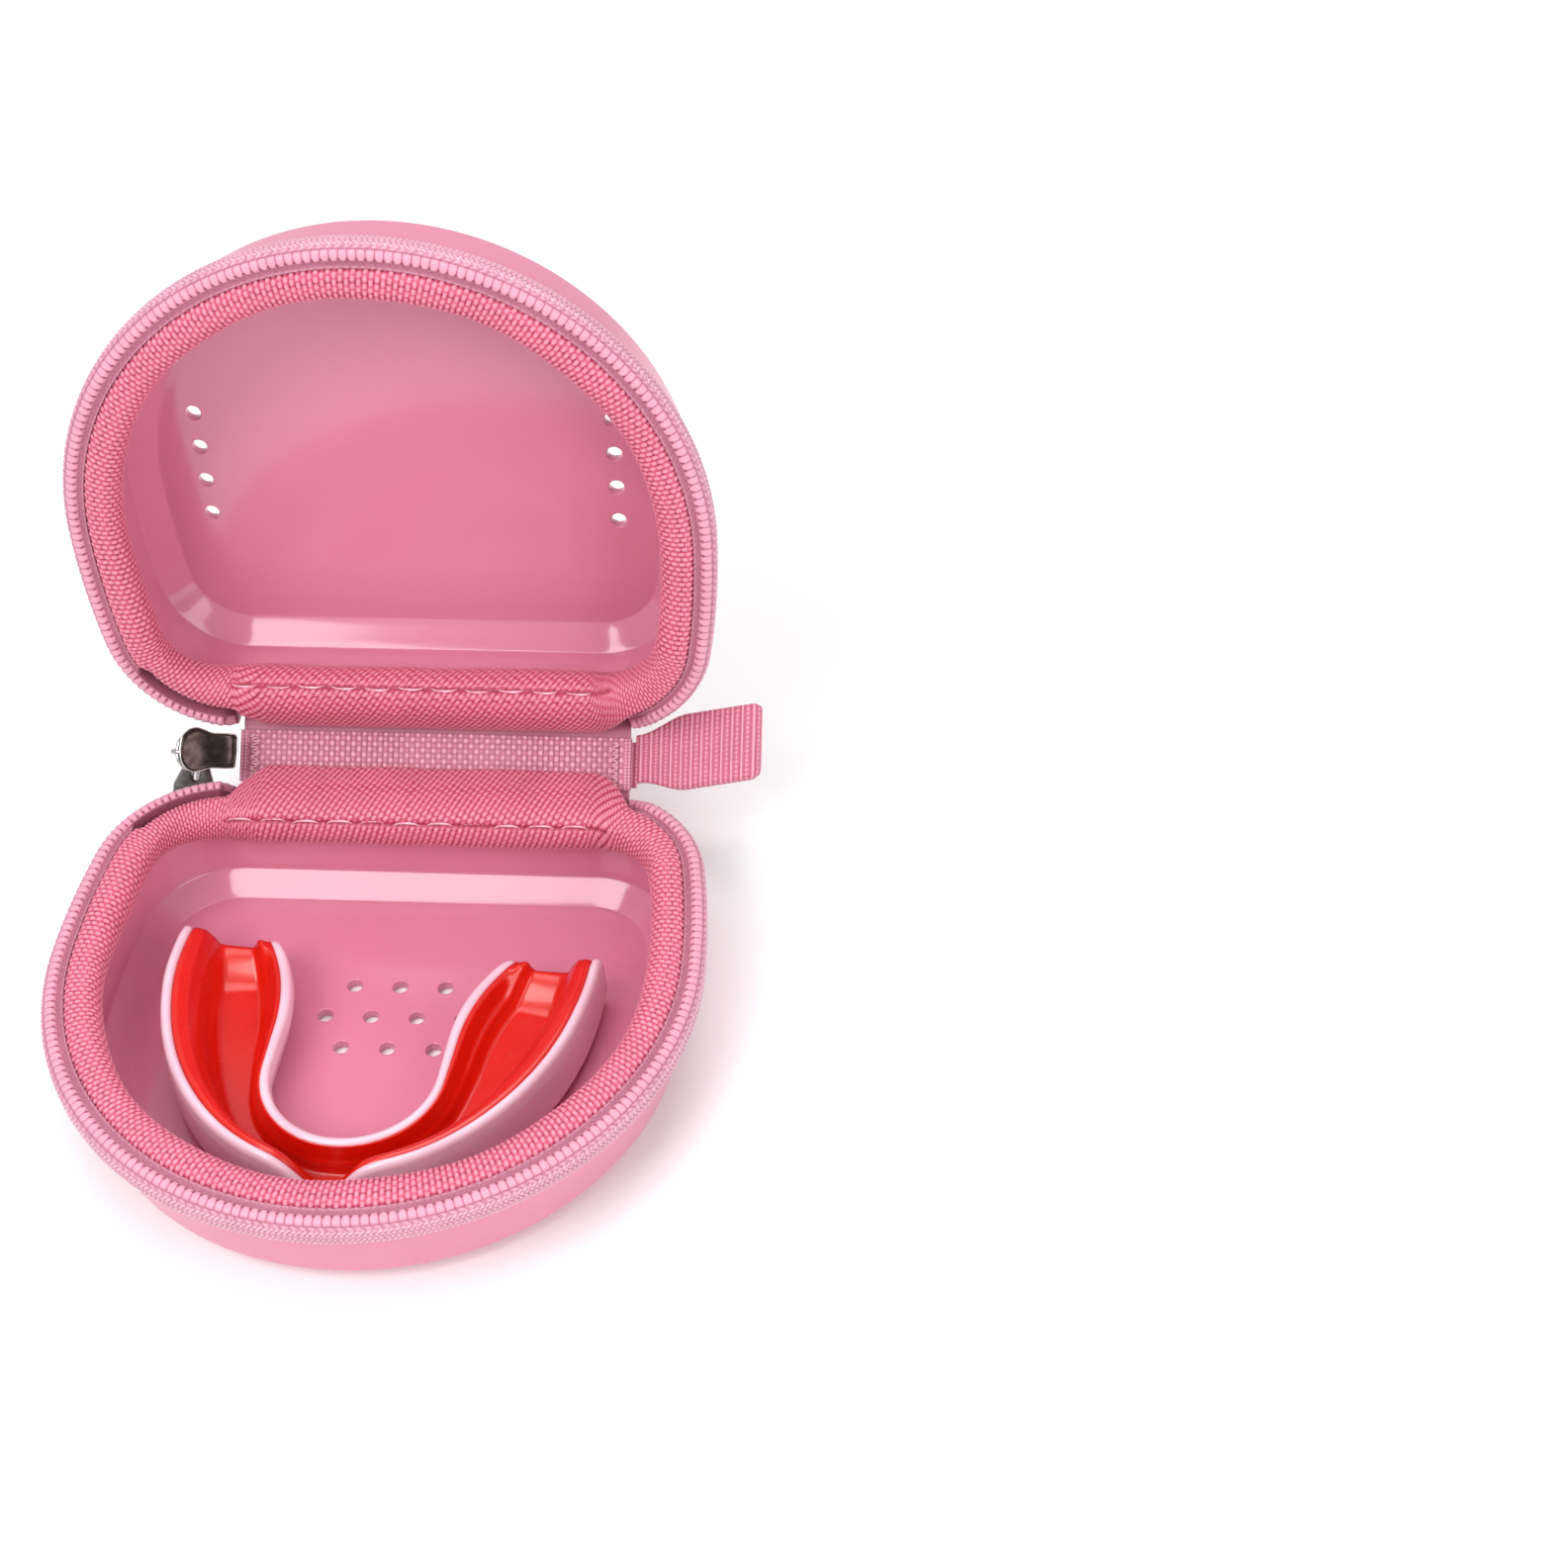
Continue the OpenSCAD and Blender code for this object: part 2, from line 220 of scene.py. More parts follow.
def filleted(points, radii, spacing, arc_step=12):
    """Open polyline with round corners: straight runs divided by spacing, arcs by arc_step degrees."""
    pts = [np.array(p, float) for p in points]
    out = [pts[0]]

    def run_to(end):
        n = max(1, int(np.linalg.norm(end - out[-1]) / spacing))
        begin = out[-1]
        out.extend(begin + (end - begin) * k / n for k in range(1, n + 1))

    for i in range(1, len(pts) - 1):
        a, b, c = pts[i - 1 : i + 2]
        u, w = unit(a - b), unit(c - b)
        inner = math.acos(max(-1.0, min(1.0, float(u @ w))))
        if radii[i] <= 0 or inner > math.pi - 0.02:
            run_to(b)
            continue
        shorter = min(np.linalg.norm(a - b), np.linalg.norm(c - b))
        reach = min(radii[i] / math.tan(inner / 2), 0.49 * shorter)
        r = reach * math.tan(inner / 2)
        centre = b + unit(u + w) * r / math.sin(inner / 2)
        run_to(b + u * reach)
        begin, end = b + u * reach - centre, b + w * reach - centre
        sweep = math.pi - inner
        n = max(2, int(math.degrees(sweep) / arc_step))
        for k in range(1, n + 1):
            t = k / n
            spoke = begin * math.sin((1 - t) * sweep) + end * math.sin(t * sweep)
            out.append(centre + spoke / math.sin(sweep))
    run_to(pts[-1])
    return np.array(out)


def evenly(path, n, closed=False):
    """A path, or each of a stack of paths, resampled to n points evenly along its length."""
    path = np.asarray(path, float)
    if path.ndim == 3:
        return np.stack([evenly(p, n, closed) for p in path])
    if closed:
        path = np.vstack([path, path[:1]])
    along = np.concatenate([[0], np.cumsum(np.linalg.norm(np.diff(path, axis=0), axis=1))])
    at = np.linspace(0, along[-1], n + 1 if closed else n)[:n]
    return np.stack([np.interp(at, along, path[:, k]) for k in range(path.shape[1])], 1)


def curved(points, n):
    """Catmull-Rom curve through points, with n steps between neighbours."""
    p = np.asarray(points, float)
    p = np.vstack([2 * p[0] - p[1], p, 2 * p[-1] - p[-2]])
    out = []
    for i in range(1, len(p) - 2):
        for t in np.arange(n) / n:
            a, b, c, d = p[i - 1 : i + 3]
            square, cube = 2 * a - 5 * b + 4 * c - d, 3 * b - a - 3 * c + d
            out.append(0.5 * (2 * b + (c - a) * t + square * t * t + cube * t**3))
    out.append(p[-2])
    return np.array(out)


def profile_normals(path):
    """Left-hand normals of (inset, depth) paths, in (inset, depth)."""
    step = np.gradient(path, axis=-2)
    length = np.linalg.norm(step, axis=-1, keepdims=True) + 1e-9
    return np.stack([step[..., 1], -step[..., 0]], -1) / length


def arc_length(path):
    """Distance along (inset, depth) paths."""
    step = np.linalg.norm(np.diff(path, axis=-2), axis=-1)
    return np.concatenate([np.zeros(step.shape[:-1] + (1,)), np.cumsum(step, -1)], -1)


def band(name, length, path, relief, back, matrix, closed=False):
    """Tube along the outline. Its seen side is path, raised by relief in mm; back is its hidden side."""
    seen = path + profile_normals(path) * relief[..., None]
    loop = np.concatenate([seen, back], 1)
    points = on_rim(length, loop[..., 0], loop[..., 1])
    n, m = points.shape[:2]
    faces = grid_faces(n, m, True, True) if closed else tube_faces(n, m)
    # the hidden side keeps relief 0, so the yarn material paints it in its dark gap colour, painted shade
    height = np.zeros((n, m))
    height[:, : relief.shape[1]] = relief / relief.max()
    return make_mesh(name, points, faces, matrix, {"relief": height})


def yarn(u, v, stagger=0.5, long=0.7):
    """Height from 0 to 1 of a ribbed weave: cords across u, each a row of beads along v."""
    cord = np.floor(u)
    a = u - cord - 0.5
    b = v + stagger * np.mod(cord, 2)
    b = b - np.floor(b) - 0.5
    return hump(a, 2.05) * (1 - long + long * hump(b, 2))


def hump(x, narrow):
    """Half an ellipse across a cell, from 0 at its sides to 1 in its middle."""
    return np.sqrt(np.clip(1 - (narrow * x) ** 2, 0, 1))


def plain_weave(u, v):
    """Height from 0 to 1 of a plain weave, with long floats along v and short, lower ones along u."""
    i, j = np.floor(u), np.floor(v)
    a, b = u - i - 0.5, v - j - 0.5
    warp = np.mod(i + j, 2) < 0.5
    along_v = hump(a, 2.15) * hump(b, 1.75)
    along_u = 0.6 * hump(b, 2.2) * hump(a, 1.9)
    # a long float reaches a little over the two cells above and below it
    over = hump(a, 2.15) * hump(np.where(b > 0, b - 1, b + 1), 1.6)
    return np.where(warp, along_v, np.maximum(along_u, over))


# --- materials
def nodes_of(name):
    """A new material, its node tree and its shader."""
    material = bpy.data.materials.new(name)
    material.use_nodes = True
    tree = material.node_tree
    return material, tree, tree.nodes["Principled BSDF"]


def add(tree, kind, **values):
    node = tree.nodes.new(kind)
    for key, value in values.items():
        if isinstance(value, bpy.types.NodeSocket):
            tree.links.new(value, node.inputs[key])
        elif key in node.inputs:
            node.inputs[key].default_value = value
        else:
            setattr(node, key, value)
    return node


def noise(tree, scale, detail=3.0, roughness=0.5):
    """Noise in object space; scale is in bumps a metre."""
    where = add(tree, "ShaderNodeTexCoord").outputs["Object"]
    node = add(tree, "ShaderNodeTexNoise", Vector=where, Scale=scale, Detail=detail, Roughness=roughness)
    return node.outputs["Fac"]


def ramp(tree, factor, stops):
    node = add(tree, "ShaderNodeValToRGB", Fac=factor)
    elements = node.color_ramp.elements
    while len(elements) < len(stops):
        elements.new(0.5)
    for element, (place, colour) in zip(elements, stops):
        element.position = place
        element.color = (*colour, 1)
    return node.outputs["Color"]


def mapped(tree, value, low, high):
    return add(tree, "ShaderNodeMapRange", Value=value, **{"To Min": low, "To Max": high}).outputs["Result"]


def calc(tree, operation, a, b):
    """A math node; a is a socket and b a socket or a number."""
    node = add(tree, "ShaderNodeMath", operation=operation)
    tree.links.new(a, node.inputs[0])
    if isinstance(b, bpy.types.NodeSocket):
        tree.links.new(b, node.inputs[1])
    else:
        node.inputs[1].default_value = b
    return node.outputs[0]


def set_inputs(node, values):
    for key, value in values.items():
        node.inputs[key].default_value = value


def bump(tree, shader, height, strength, distance):
    node = add(tree, "ShaderNodeBump", Height=height, Strength=strength, Distance=distance)
    tree.links.new(node.outputs["Normal"], shader.inputs["Normal"])


def fibre_material(name, gap, middle, top, roughness, sheen, mottle=0.12, fibre_scale=2600.0):
    """Yarn: colour follows the weave's relief, darker low down as painted shade between the threads and
    lighter on top as painted highlight, with mottling and fine fibres.
    """
    material, tree, shader = nodes_of(name)
    relief = add(tree, "ShaderNodeAttribute", attribute_name="relief").outputs["Fac"]
    speckle = noise(tree, fibre_scale, 2.0)
    patches = noise(tree, 160.0, 3.0)
    fibres = calc(tree, "MULTIPLY", calc(tree, "SUBTRACT", speckle, 0.5), 0.35)
    height = calc(tree, "ADD", relief, fibres)
    # painted shade in the gaps between threads and painted highlight on their crests, from the relief
    colour = ramp(tree, height, [(0.0, gap), (0.5, middle), (0.95, top)])
    light = mapped(tree, patches, 1 - mottle, 1 + mottle)
    shade = add(tree, "ShaderNodeHueSaturation", Color=colour, Value=light)
    tree.links.new(shade.outputs["Color"], shader.inputs["Base Color"])
    tree.links.new(mapped(tree, speckle, roughness - 0.08, roughness + 0.12), shader.inputs["Roughness"])
    set_inputs(shader, {"Sheen Weight": sheen, "Sheen Roughness": 0.4})
    bump(tree, shader, noise(tree, fibre_scale * 1.3, 2.0), 0.25, 0.00008)
    return material


def shell_material():
    """Glossy moulded plastic with a faint orange peel, slight colour drift and rare fine scratches."""
    material, tree, shader = nodes_of("shell_plastic")
    drift = noise(tree, 22.0, 2.0)
    colour = ramp(tree, drift, [(0.3, (0.64, 0.20, 0.31)), (0.7, (0.67, 0.225, 0.335))])
    tree.links.new(colour, shader.inputs["Base Color"])
    where = add(tree, "ShaderNodeTexCoord").outputs["Object"]
    stretch = add(tree, "ShaderNodeMapping", Vector=where)
    set_inputs(stretch, {"Scale": (1, 0.03, 0.2), "Rotation": (0.3, 0.2, 0.7)})
    scratch = add(tree, "ShaderNodeTexNoise", Vector=stretch.outputs[0], Scale=1500.0, Detail=2.0)
    rough = ramp(tree, scratch.outputs["Fac"], [(0.66, (0.13,) * 3), (0.78, (0.24,) * 3)])
    tree.links.new(rough, shader.inputs["Roughness"])
    set_inputs(shader, {
        "Coat Weight": 0.35,
        "Coat Roughness": 0.06,
        "Subsurface Weight": 0.12,
        "Subsurface Radius": (1.0, 0.35, 0.45),
        "Subsurface Scale": 0.0012,
    })
    bump(tree, shader, noise(tree, 260.0, 2.0), 0.05, 0.0002)
    return material


def rubber_material(name, colours, roughness, subsurface, radius, coat):
    """Moulded rubber: soft light under the surface, a faint flow pattern and uneven gloss."""
    material, tree, shader = nodes_of(name)
    colour = ramp(tree, noise(tree, 90.0, 3.0), [(0.35, colours[0]), (0.7, colours[1])])
    tree.links.new(colour, shader.inputs["Base Color"])
    gloss = noise(tree, 420.0, 2.0)
    tree.links.new(mapped(tree, gloss, roughness * 0.8, roughness * 1.3), shader.inputs["Roughness"])
    set_inputs(shader, {
        "Subsurface Weight": subsurface,
        "Subsurface Radius": radius,
        "Subsurface Scale": 0.0015,
        "Coat Weight": coat,
        "Coat Roughness": 0.08,
    })
    bump(tree, shader, noise(tree, 700.0, 2.0), 0.08, 0.00015)
    return material


def metal_material(name, dark, light, roughness):
    """Plated metal with fine polishing marks and faint clouding."""
    material, tree, shader = nodes_of(name)
    colour = ramp(tree, noise(tree, 900.0, 4.0), [(0.35, dark), (0.65, light)])
    tree.links.new(colour, shader.inputs["Base Color"])
    shader.inputs["Metallic"].default_value = 1.0
    marks = noise(tree, 3500.0, 3.0)
    tree.links.new(mapped(tree, marks, roughness * 0.6, roughness * 1.5), shader.inputs["Roughness"])
    bump(tree, shader, marks, 0.06, 0.00005)
    return material


SHELL = shell_material()
# the yarns' colours between the threads (painted shade), on them, and at their tops (painted highlight)
TAPE = fibre_material(
    "tape_yarn", (0.34, 0.09, 0.15), (0.62, 0.27, 0.37), (0.82, 0.52, 0.61), 0.5, 0.25
)
COIL = fibre_material(
    "coil_thread", (0.36, 0.09, 0.15), (0.60, 0.21, 0.31), (0.72, 0.33, 0.44), 0.42, 0.15
)
BINDING = fibre_material(
    "binding_yarn", (0.20, 0.005, 0.02), (0.54, 0.065, 0.135), (0.78, 0.27, 0.37), 0.42, 0.15
)
SPINE = fibre_material(
    "spine_yarn", (0.20, 0.035, 0.08), (0.52, 0.155, 0.245), (0.76, 0.38, 0.49), 0.42, 0.2
)
WEBBING = fibre_material(
    "webbing_yarn", (0.32, 0.04, 0.085), (0.58, 0.14, 0.23), (0.78, 0.36, 0.46), 0.45, 0.2
)
THREAD = fibre_material(
    "stitch_thread", (0.66, 0.24, 0.33), (0.80, 0.42, 0.52), (0.88, 0.60, 0.68), 0.5, 0.25
)
SKIN = rubber_material(
    "guard_outer", ((0.80, 0.50, 0.60), (0.86, 0.60, 0.69)), 0.2, 0.4, (1.0, 0.5, 0.6), 0.3
)
LINER = rubber_material(
    "guard_inner", ((0.60, 0.006, 0.001), (0.66, 0.009, 0.0015)), 0.24, 0.15, (1.0, 0.1, 0.05), 0.25
)
NICKEL = metal_material("nickel_plate", (0.60, 0.59, 0.58), (0.74, 0.73, 0.72), 0.12)
# the slider's inner plate: its dark colour is a painted dark reflection of a mirror-like face
PAINTED_REFLECTION_DARK_METAL = metal_material("dark_plate_painted_reflection", (0.035, 0.022, 0.02), (0.07, 0.05, 0.048), 0.14)
DARK_NICKEL = metal_material("dark_nickel", (0.10, 0.095, 0.09), (0.17, 0.16, 0.155), 0.16)


# --- hard shells
CHAMFER_IN, CHAMFER_H = 3.8, 3.4
HOLE_SIDES = 28
HOLE_EDGE = 0.18


def circle(x, y, r):
    """Corners of a hole's edge."""
    turn = [2 * math.pi * k / HOLE_SIDES for k in range(HOLE_SIDES)]
    return [(x + r * math.cos(t), y + r * math.sin(t)) for t in turn]


def crown_fill(ring, holes, level):
    """Flat face of the crown with round holes: points and triangles."""
    flat = [Vector(p[:2]) for p in ring]
    edges = [(k, (k + 1) % len(ring)) for k in range(len(ring))]
    for hole in holes:
        start = len(flat)
        flat += [Vector(p) for p in circle(*hole)]
        edges += [(start + k, start + (k + 1) % HOLE_SIDES) for k in range(HOLE_SIDES)]
    points, _, faces, _, _, _ = delaunay_2d_cdt(flat, edges, [list(range(len(ring)))], 1, 1e-7)
    kept = []
    for f in faces:
        c = sum((points[k] for k in f), Vector((0, 0))) / len(f)
        if all((c.x - x) ** 2 + (c.y - y) ** 2 > (r * 0.97) ** 2 for x, y, r in holes):
            kept.append(list(f))
    return [(p.x, p.y, level) for p in points], kept


def make_shell(half, holes):
    """One moulded shell: outer wall, chamfer and crown, the same inside, and softened vent holes."""
    length = np.linspace(-HALF_LEN, HALF_LEN, 361)[:-1]
    foot = WALL_IN + DRAFT
    crown = HALF_H - WALL
    outer = filleted(
        [
            (WALL_IN + 0.3, SHELL_TOP),
            (WALL_IN, SHELL_TOP),
            (foot, HALF_H - CHAMFER_H),
            (foot + CHAMFER_IN, HALF_H),
            (foot + 6, HALF_H),
        ],
        [0, 0.25, 0.9, 0.9, 0], 0.9, 10,
    )
    inner = filleted(
        [
            (foot + 7.4, crown),
            (foot + 5.4, crown),
            (foot + WALL, 14.7),
            (WALL_IN + WALL, SHELL_TOP),
            (WALL_IN + WALL - 0.3, SHELL_TOP),
        ],
        [0, 0.55, 0.55, 0.25, 0], 0.9, 10,
    )
    loop = np.repeat(np.vstack([inner, outer])[None], len(length), 0)
    points = on_rim(length, loop[..., 0], loop[..., 1])
    n, m = points.shape[:2]
    faces = grid_faces(n, m, True, False)
    all_points = points.reshape(-1, 3).tolist()
    wide = [(x, y, r + HOLE_EDGE) for x, y, r in holes]
    for column, z in ((0, WALL), (m - 1, 0.0)):
        flat, triangles = crown_fill(points[:, column], wide, z)
        start = len(all_points)
        all_points += flat
        faces += [[k + start for k in t] for t in triangles]
    # each hole's edge is softened inside and outside: how much wider it is at each height
    soft = HOLE_EDGE * 0.3
    rims = [(HOLE_EDGE, WALL), (soft, WALL - soft), (0, WALL - HOLE_EDGE)]
    rims += [(0, HOLE_EDGE), (soft, soft), (HOLE_EDGE, 0)]
    for x, y, r in holes:
        start = len(all_points)
        for wider, z in rims:
            all_points += [(*p, z) for p in circle(x, y, r + wider)]
        faces += grid_faces(len(rims), HOLE_SIDES, False, True, start)
    obj = make_mesh(f"{half}_shell_moulding", all_points, faces, HALVES[half])
    finish_piece(obj, half, SHELL, [f"{half}_shell"])


VENT_R = 1.1
BASE_VENTS = [
    ((i - (1.5 if row == 0 else 1)) * 6.6, 2.7 + row * 6.6 * math.sin(math.radians(60)), VENT_R)
    for row in (-1, 0, 1) for i in range(4 if row == 0 else 3)
]
LID_VENTS = [(side * 29.8, -1.9 + (i - 1.5) * 5.6, VENT_R) for side in (-1, 1) for i in range(4)]

# --- fabric bindings at the rim
RIB_COUNT = 320
BEAD = 0.95
BINDING_FRONT = [
    (3.1, 3.4), (3.0, 1.6), (3.55, 0.72), (4.9, 0.45), (6.3, 0.7), (7.15, 1.7),
    (7.3, 3.4), (6.6, 5.0), (4.9, 5.9),
]
# the base's flange bulges over the fold; the lid's slopes down to it
BINDING_HINGE = {
    "base": [
        (-1.6, 5.4), (-3.0, 3.7), (-3.7, 2.2), (-2.9, 1.15), (-1.2, 0.8), (1.2, 0.5),
        (4.2, 0.4), (6.8, 0.8), (8.0, 2.4), (8.1, 4.6), (6.9, 6.6), (5.2, 7.6),
    ],
    "lid": [
        (-1.2, 5.2), (-1.35, 4.35), (-0.2, 3.0), (1.8, 1.7), (4.4, 0.7),
        (7.0, 0.95), (8.3, 2.6), (8.5, 4.8), (7.3, 7.0), (5.3, 8.2),
    ],
}
BINDING_BACK_FRONT = [(4.3, 5.6), (3.7, 4.6)]
BINDING_BACK_HINGE = [(3.0, 5.8), (0.6, 5.6)]
SLANT = {"base": -0.42, "lid": 0.72}
SEAM_IN = 7.7
# (y, z) places at both ends of the fold beside the base's binding; finish_piece only bakes the binding in
# place and does not bend it
BEND_START, BEND_END = (32.6, 16.5), (37.0, 17.0)


def at_hinge(length, before=3.2, after=0.6):
    """0 along the zip, 1 along the fabric hinge."""
    start = HALF_LEN - np.where(length > 0, SPINE_RIGHT, SPINE_HALF)
    return smoothstep(np.abs(length) - start, -before, after)


def make_binding(half):
    """Ribbed binding that covers the shell's rim, with the wide flange at the hinge side."""
    length = np.linspace(-HALF_LEN, HALF_LEN, RIB_COUNT * 5 + 1)[:-1]
    steps = 80
    # the flange's outer side starts beside the zip's end, its inner side widens slowly round the corner
    inner_side = smoothstep(np.linspace(0, 1, steps), 0.25, 0.65)[None]
    before = np.where(length > 0, 3.0, 0.8)
    at_outer = at_hinge(length, before, 5.5)[:, None]
    at_inner = at_hinge(length, 19, 7)[:, None]
    k = (at_outer * (1 - inner_side) + at_inner * inner_side)[..., None]
    front = evenly(curved(BINDING_FRONT, 10), steps)
    hinge = evenly(curved(BINDING_HINGE[half], 10), steps)
    path = front * (1 - k) + hinge * k
    # room for the slider's inner plate when the case is closed
    path[..., 0] += 0.9 * slider_reach(length)[:, None] * (1 - inner_side)
    path = evenly(path, 96)
    along = arc_length(path)
    # the ribs lean one way, and more so along the flange
    lean = at_hinge(length, 20, 2)[:, None]
    slant = math.copysign(0.1, SLANT[half]) * (1 - lean) + SLANT[half] * lean
    u = (length / (2 * HALF_LEN) * RIB_COUNT)[:, None] + slant * along / BEAD
    relief = 0.34 * yarn(u, along / BEAD)
    # the lockstitch draws a groove along the inner shoulder of the hinge flange; its lowered relief also
    # darkens the groove as painted shade
    at_seam = np.argmin(np.abs(path[..., 0] - SEAM_IN) + 2.0 * (path[..., 1] > 3.2), axis=1)
    seam_at = along[np.arange(len(length)), at_seam][:, None]
    seam = np.exp(-(((along - seam_at) / 0.4) ** 2)) * at_hinge(length, 1, 1)[:, None]
    relief = relief * (1 - 0.7 * seam)
    phase = 0.7 if half == "lid" else 0
    sag = 0.12 * np.sin(length * 0.21 + phase)[:, None] * smoothstep(along, 1, 5)
    path = path + profile_normals(path) * (sag - 0.22 * seam)[..., None]
    k = at_hinge(length)[:, None, None]
    back = np.array(BINDING_BACK_FRONT) * (1 - k) + np.array(BINDING_BACK_HINGE) * k
    obj = band(f"{half}_binding_weave", length, path, relief, back, HALVES[half], True)
    blend = None
    if half == "base":
        blend = ("base", "spine", *((0, y * MM, z * MM) for y, z in (BEND_START, BEND_END)))
    finish_piece(obj, half, BINDING, [f"{half}_binding"], blend)


def make_stitches(half):
    """Lockstitches along the hinge flange: short threads that dip into the cloth at both ends."""
    points, faces, relief = [], [], []
    rings, sides = 9, 8
    count, pitch, stitch, thick = 11, 4.9, 3.7, 0.17
    depth = 1.75 if half == "base" else 1.55
    for i in range(count):
        x0 = (i - count // 2) * pitch
        wander = 0.14 * math.sin(i * 2.1)
        for a in range(rings):
            t = a / (rings - 1)
            x = x0 + (t - 0.5) * stitch
            lift = 0.42 * math.sin(math.pi * t) ** 0.4 - 0.22
            r = thick * (0.55 + 0.45 * math.sin(math.pi * t) ** 0.5)
            y = BACK_Y - SEAM_IN + wander + 0.10 * math.sin(t * math.pi)
            for s in range(sides):
                c = 2 * math.pi * s / sides
                points.append((x, y + r * math.cos(c), HALF_H - depth + lift + r * math.sin(c)))
                # relief spirals round the thread along the twist of its plies; the thread material shows it
                # as painted highlight on one side and painted shade on the other
                relief.append(0.5 + 0.5 * math.sin(c + 9 * t))
        faces += tube_faces(rings, sides, i * rings * sides)
    obj = make_mesh(f"{half}_lockstitch", points, faces, HALVES[half], {"relief": relief})
    finish_piece(obj, half, THREAD, [f"{half}_hinge_stitches"])


# --- zip tapes and coils
ZIP_LEFT = -(HALF_LEN - SPINE_HALF - 0.3)
ZIP_RIGHT = HALF_LEN - SPINE_RIGHT


def tuck(length):
    """How far the zip's ends are drawn out and down into the hinge, from 0 to 1."""
    right = smoothstep(length, ZIP_RIGHT - 5, ZIP_RIGHT)
    left = smoothstep(-length, -ZIP_LEFT - 1.8, -ZIP_LEFT)
    return np.maximum(right, left)


def slider_reach(length):
    """1 where the slider's inner plate runs along the closed zip, 0 elsewhere."""
    start, end = HALF_LEN - 46.0, HALF_LEN - 26.5
    return smoothstep(-length, start, start + 2) * (1 - smoothstep(-length, end, end + 1))


def free_edge(length, path):
    """Paths whose innermost part is drawn back to leave room for the slider."""
    path = np.repeat(path[None], len(length), 0)
    room = slider_reach(length)[:, None]
    path[..., 0] = np.where(path[..., 0] > 1.9, 1.9 + (path[..., 0] - 1.9) * (1 - room), path[..., 0])
    return path


def tucked(length, path):
    """Paths moved with the zip's ends."""
    return path + tuck(length)[:, None, None] * np.array([-1.5, 2.5])


def make_tape(half):
    """Woven zip tape: a herringbone roll outside, a cord beside the coil, and the free edge inside it."""
    pitch, row_w, twist_pitch = 0.72, 1.5, 1.18
    length = np.linspace(ZIP_LEFT, ZIP_RIGHT, int((ZIP_RIGHT - ZIP_LEFT) / pitch) * 6)
    corners = [
        (2.5, 5.4), (1.4, 5.25), (0.4, 4.8), (-0.05, 4.0), (-0.15, 2.95), (-0.1, 2.05),
        (0.15, 1.5), (0.7, 1.28), (1.6, 1.26), (2.3, 1.2), (2.8, 1.0),
    ]
    path = evenly(curved(corners, 10), 62)
    along = arc_length(path)
    edge = along[-1]
    cord_at = along[np.argmin(np.hypot(path[:, 0] - 0.02, path[:, 1] - 1.62))]
    row = along / row_w
    chevron = np.abs(np.mod(row, 1) - 0.5) * 2.2
    u = length[:, None] / pitch + chevron[None]
    thread = np.abs(np.sin(math.pi * u)) ** 0.7
    between = np.abs(np.sin(math.pi * (row * 2 + 0.5)))[None]
    outside = smoothstep(cord_at - along, 0.1, 0.4)[None]
    relief = (0.04 + 0.24 * outside) * thread * (0.45 + 0.55 * between**0.5)
    for place, size in ((cord_at, 0.26), (cord_at - 0.55, 0.13), (edge - 0.12, 0.12)):
        cord = np.exp(-(((along - place) / (0.13 + size * 0.3)) ** 2))[None]
        turns = length[:, None] / twist_pitch + 0.9 * along[None] + place
        twist = 0.62 + 0.38 * np.sin(2 * math.pi * turns)
        relief = relief + size * cord * twist
    back = np.array([(2.75, 1.4), (2.5, 2.86), (3.25, 3.0), (3.25, 3.4), (2.7, 6.0)])
    path, back = (tucked(length, free_edge(length, side)) for side in (path, back))
    obj = band(f"{half}_tape_weave", length, path, relief, back, HALVES[half])
    finish_piece(obj, half, TAPE, [f"{half}_zip_tape"])


def make_coil(half):
    """Sewn coil: a row of thread-covered turns with needle holes beside them, dented in and darkened as
    painted shade.
    """
    pitch = 1.2
    turns = int((ZIP_RIGHT - ZIP_LEFT) / pitch)
    length = np.linspace(ZIP_LEFT, ZIP_RIGHT, turns * 12 + 1)
    corners = [(0.3, 1.4), (0.5, 1.04), (0.95, 0.86), (1.5, 0.88), (1.8, 1.3)]
    path = evenly(filleted(corners, [0, 0.25, 0.3, 0.3, 0], 0.12), 26)
    along = arc_length(path)
    phase = (np.arange(len(length)) % 12 / 12.0)[:, None]
    a = np.abs(phase - 0.5) * 2
    across = (along / along[-1])[None]
    turn_shape = np.clip(1 - a**4, 0, 1) ** 0.5
    end_shape = np.clip(1 - np.abs(2 * across - 1) ** 6, 0, 1) ** 0.5
    threads = 0.84 + 0.16 * np.abs(np.sin(math.pi * phase * 4 + 0.6))
    # needle holes: dented in, and their relief is pushed below the gaps' so the ramp also gives them its
    # darkest colour, painted shade
    pit = np.exp(-(((a - 1) / 0.34) ** 2)) * np.exp(-(((across - 0.76) / 0.12) ** 2))
    relief = np.clip(0.15 * turn_shape * (0.35 + 0.65 * end_shape) * threads - 0.2 * pit, -0.2, 1)
    path, back = (tucked(length, side) for side in (path, np.array([(1.8, 1.5), (0.5, 1.6)])))
    obj = band(f"{half}_coil_turns", length, path, relief, back, HALVES[half])
    finish_piece(obj, half, COIL, [f"{half}_zip_coil"])


# --- fabric hinge
CLOTH_H = 0.26
FOLD_BEFORE, FOLD_AFTER = 2.2, 1.8


def cloth_grid(x_low, x_high, path, pitch):
    """Cloth along a (y, z) path: x values, the line, the distances along it and the weave's height."""
    x = np.linspace(x_low, x_high, int((x_high - x_low) / pitch * 6))
    line = evenly(path, int(arc_length(path)[-1] / pitch * 6))
    along = arc_length(line)
    return x, line, along, CLOTH_H * plain_weave(x[:, None] / pitch, along[None] / pitch)


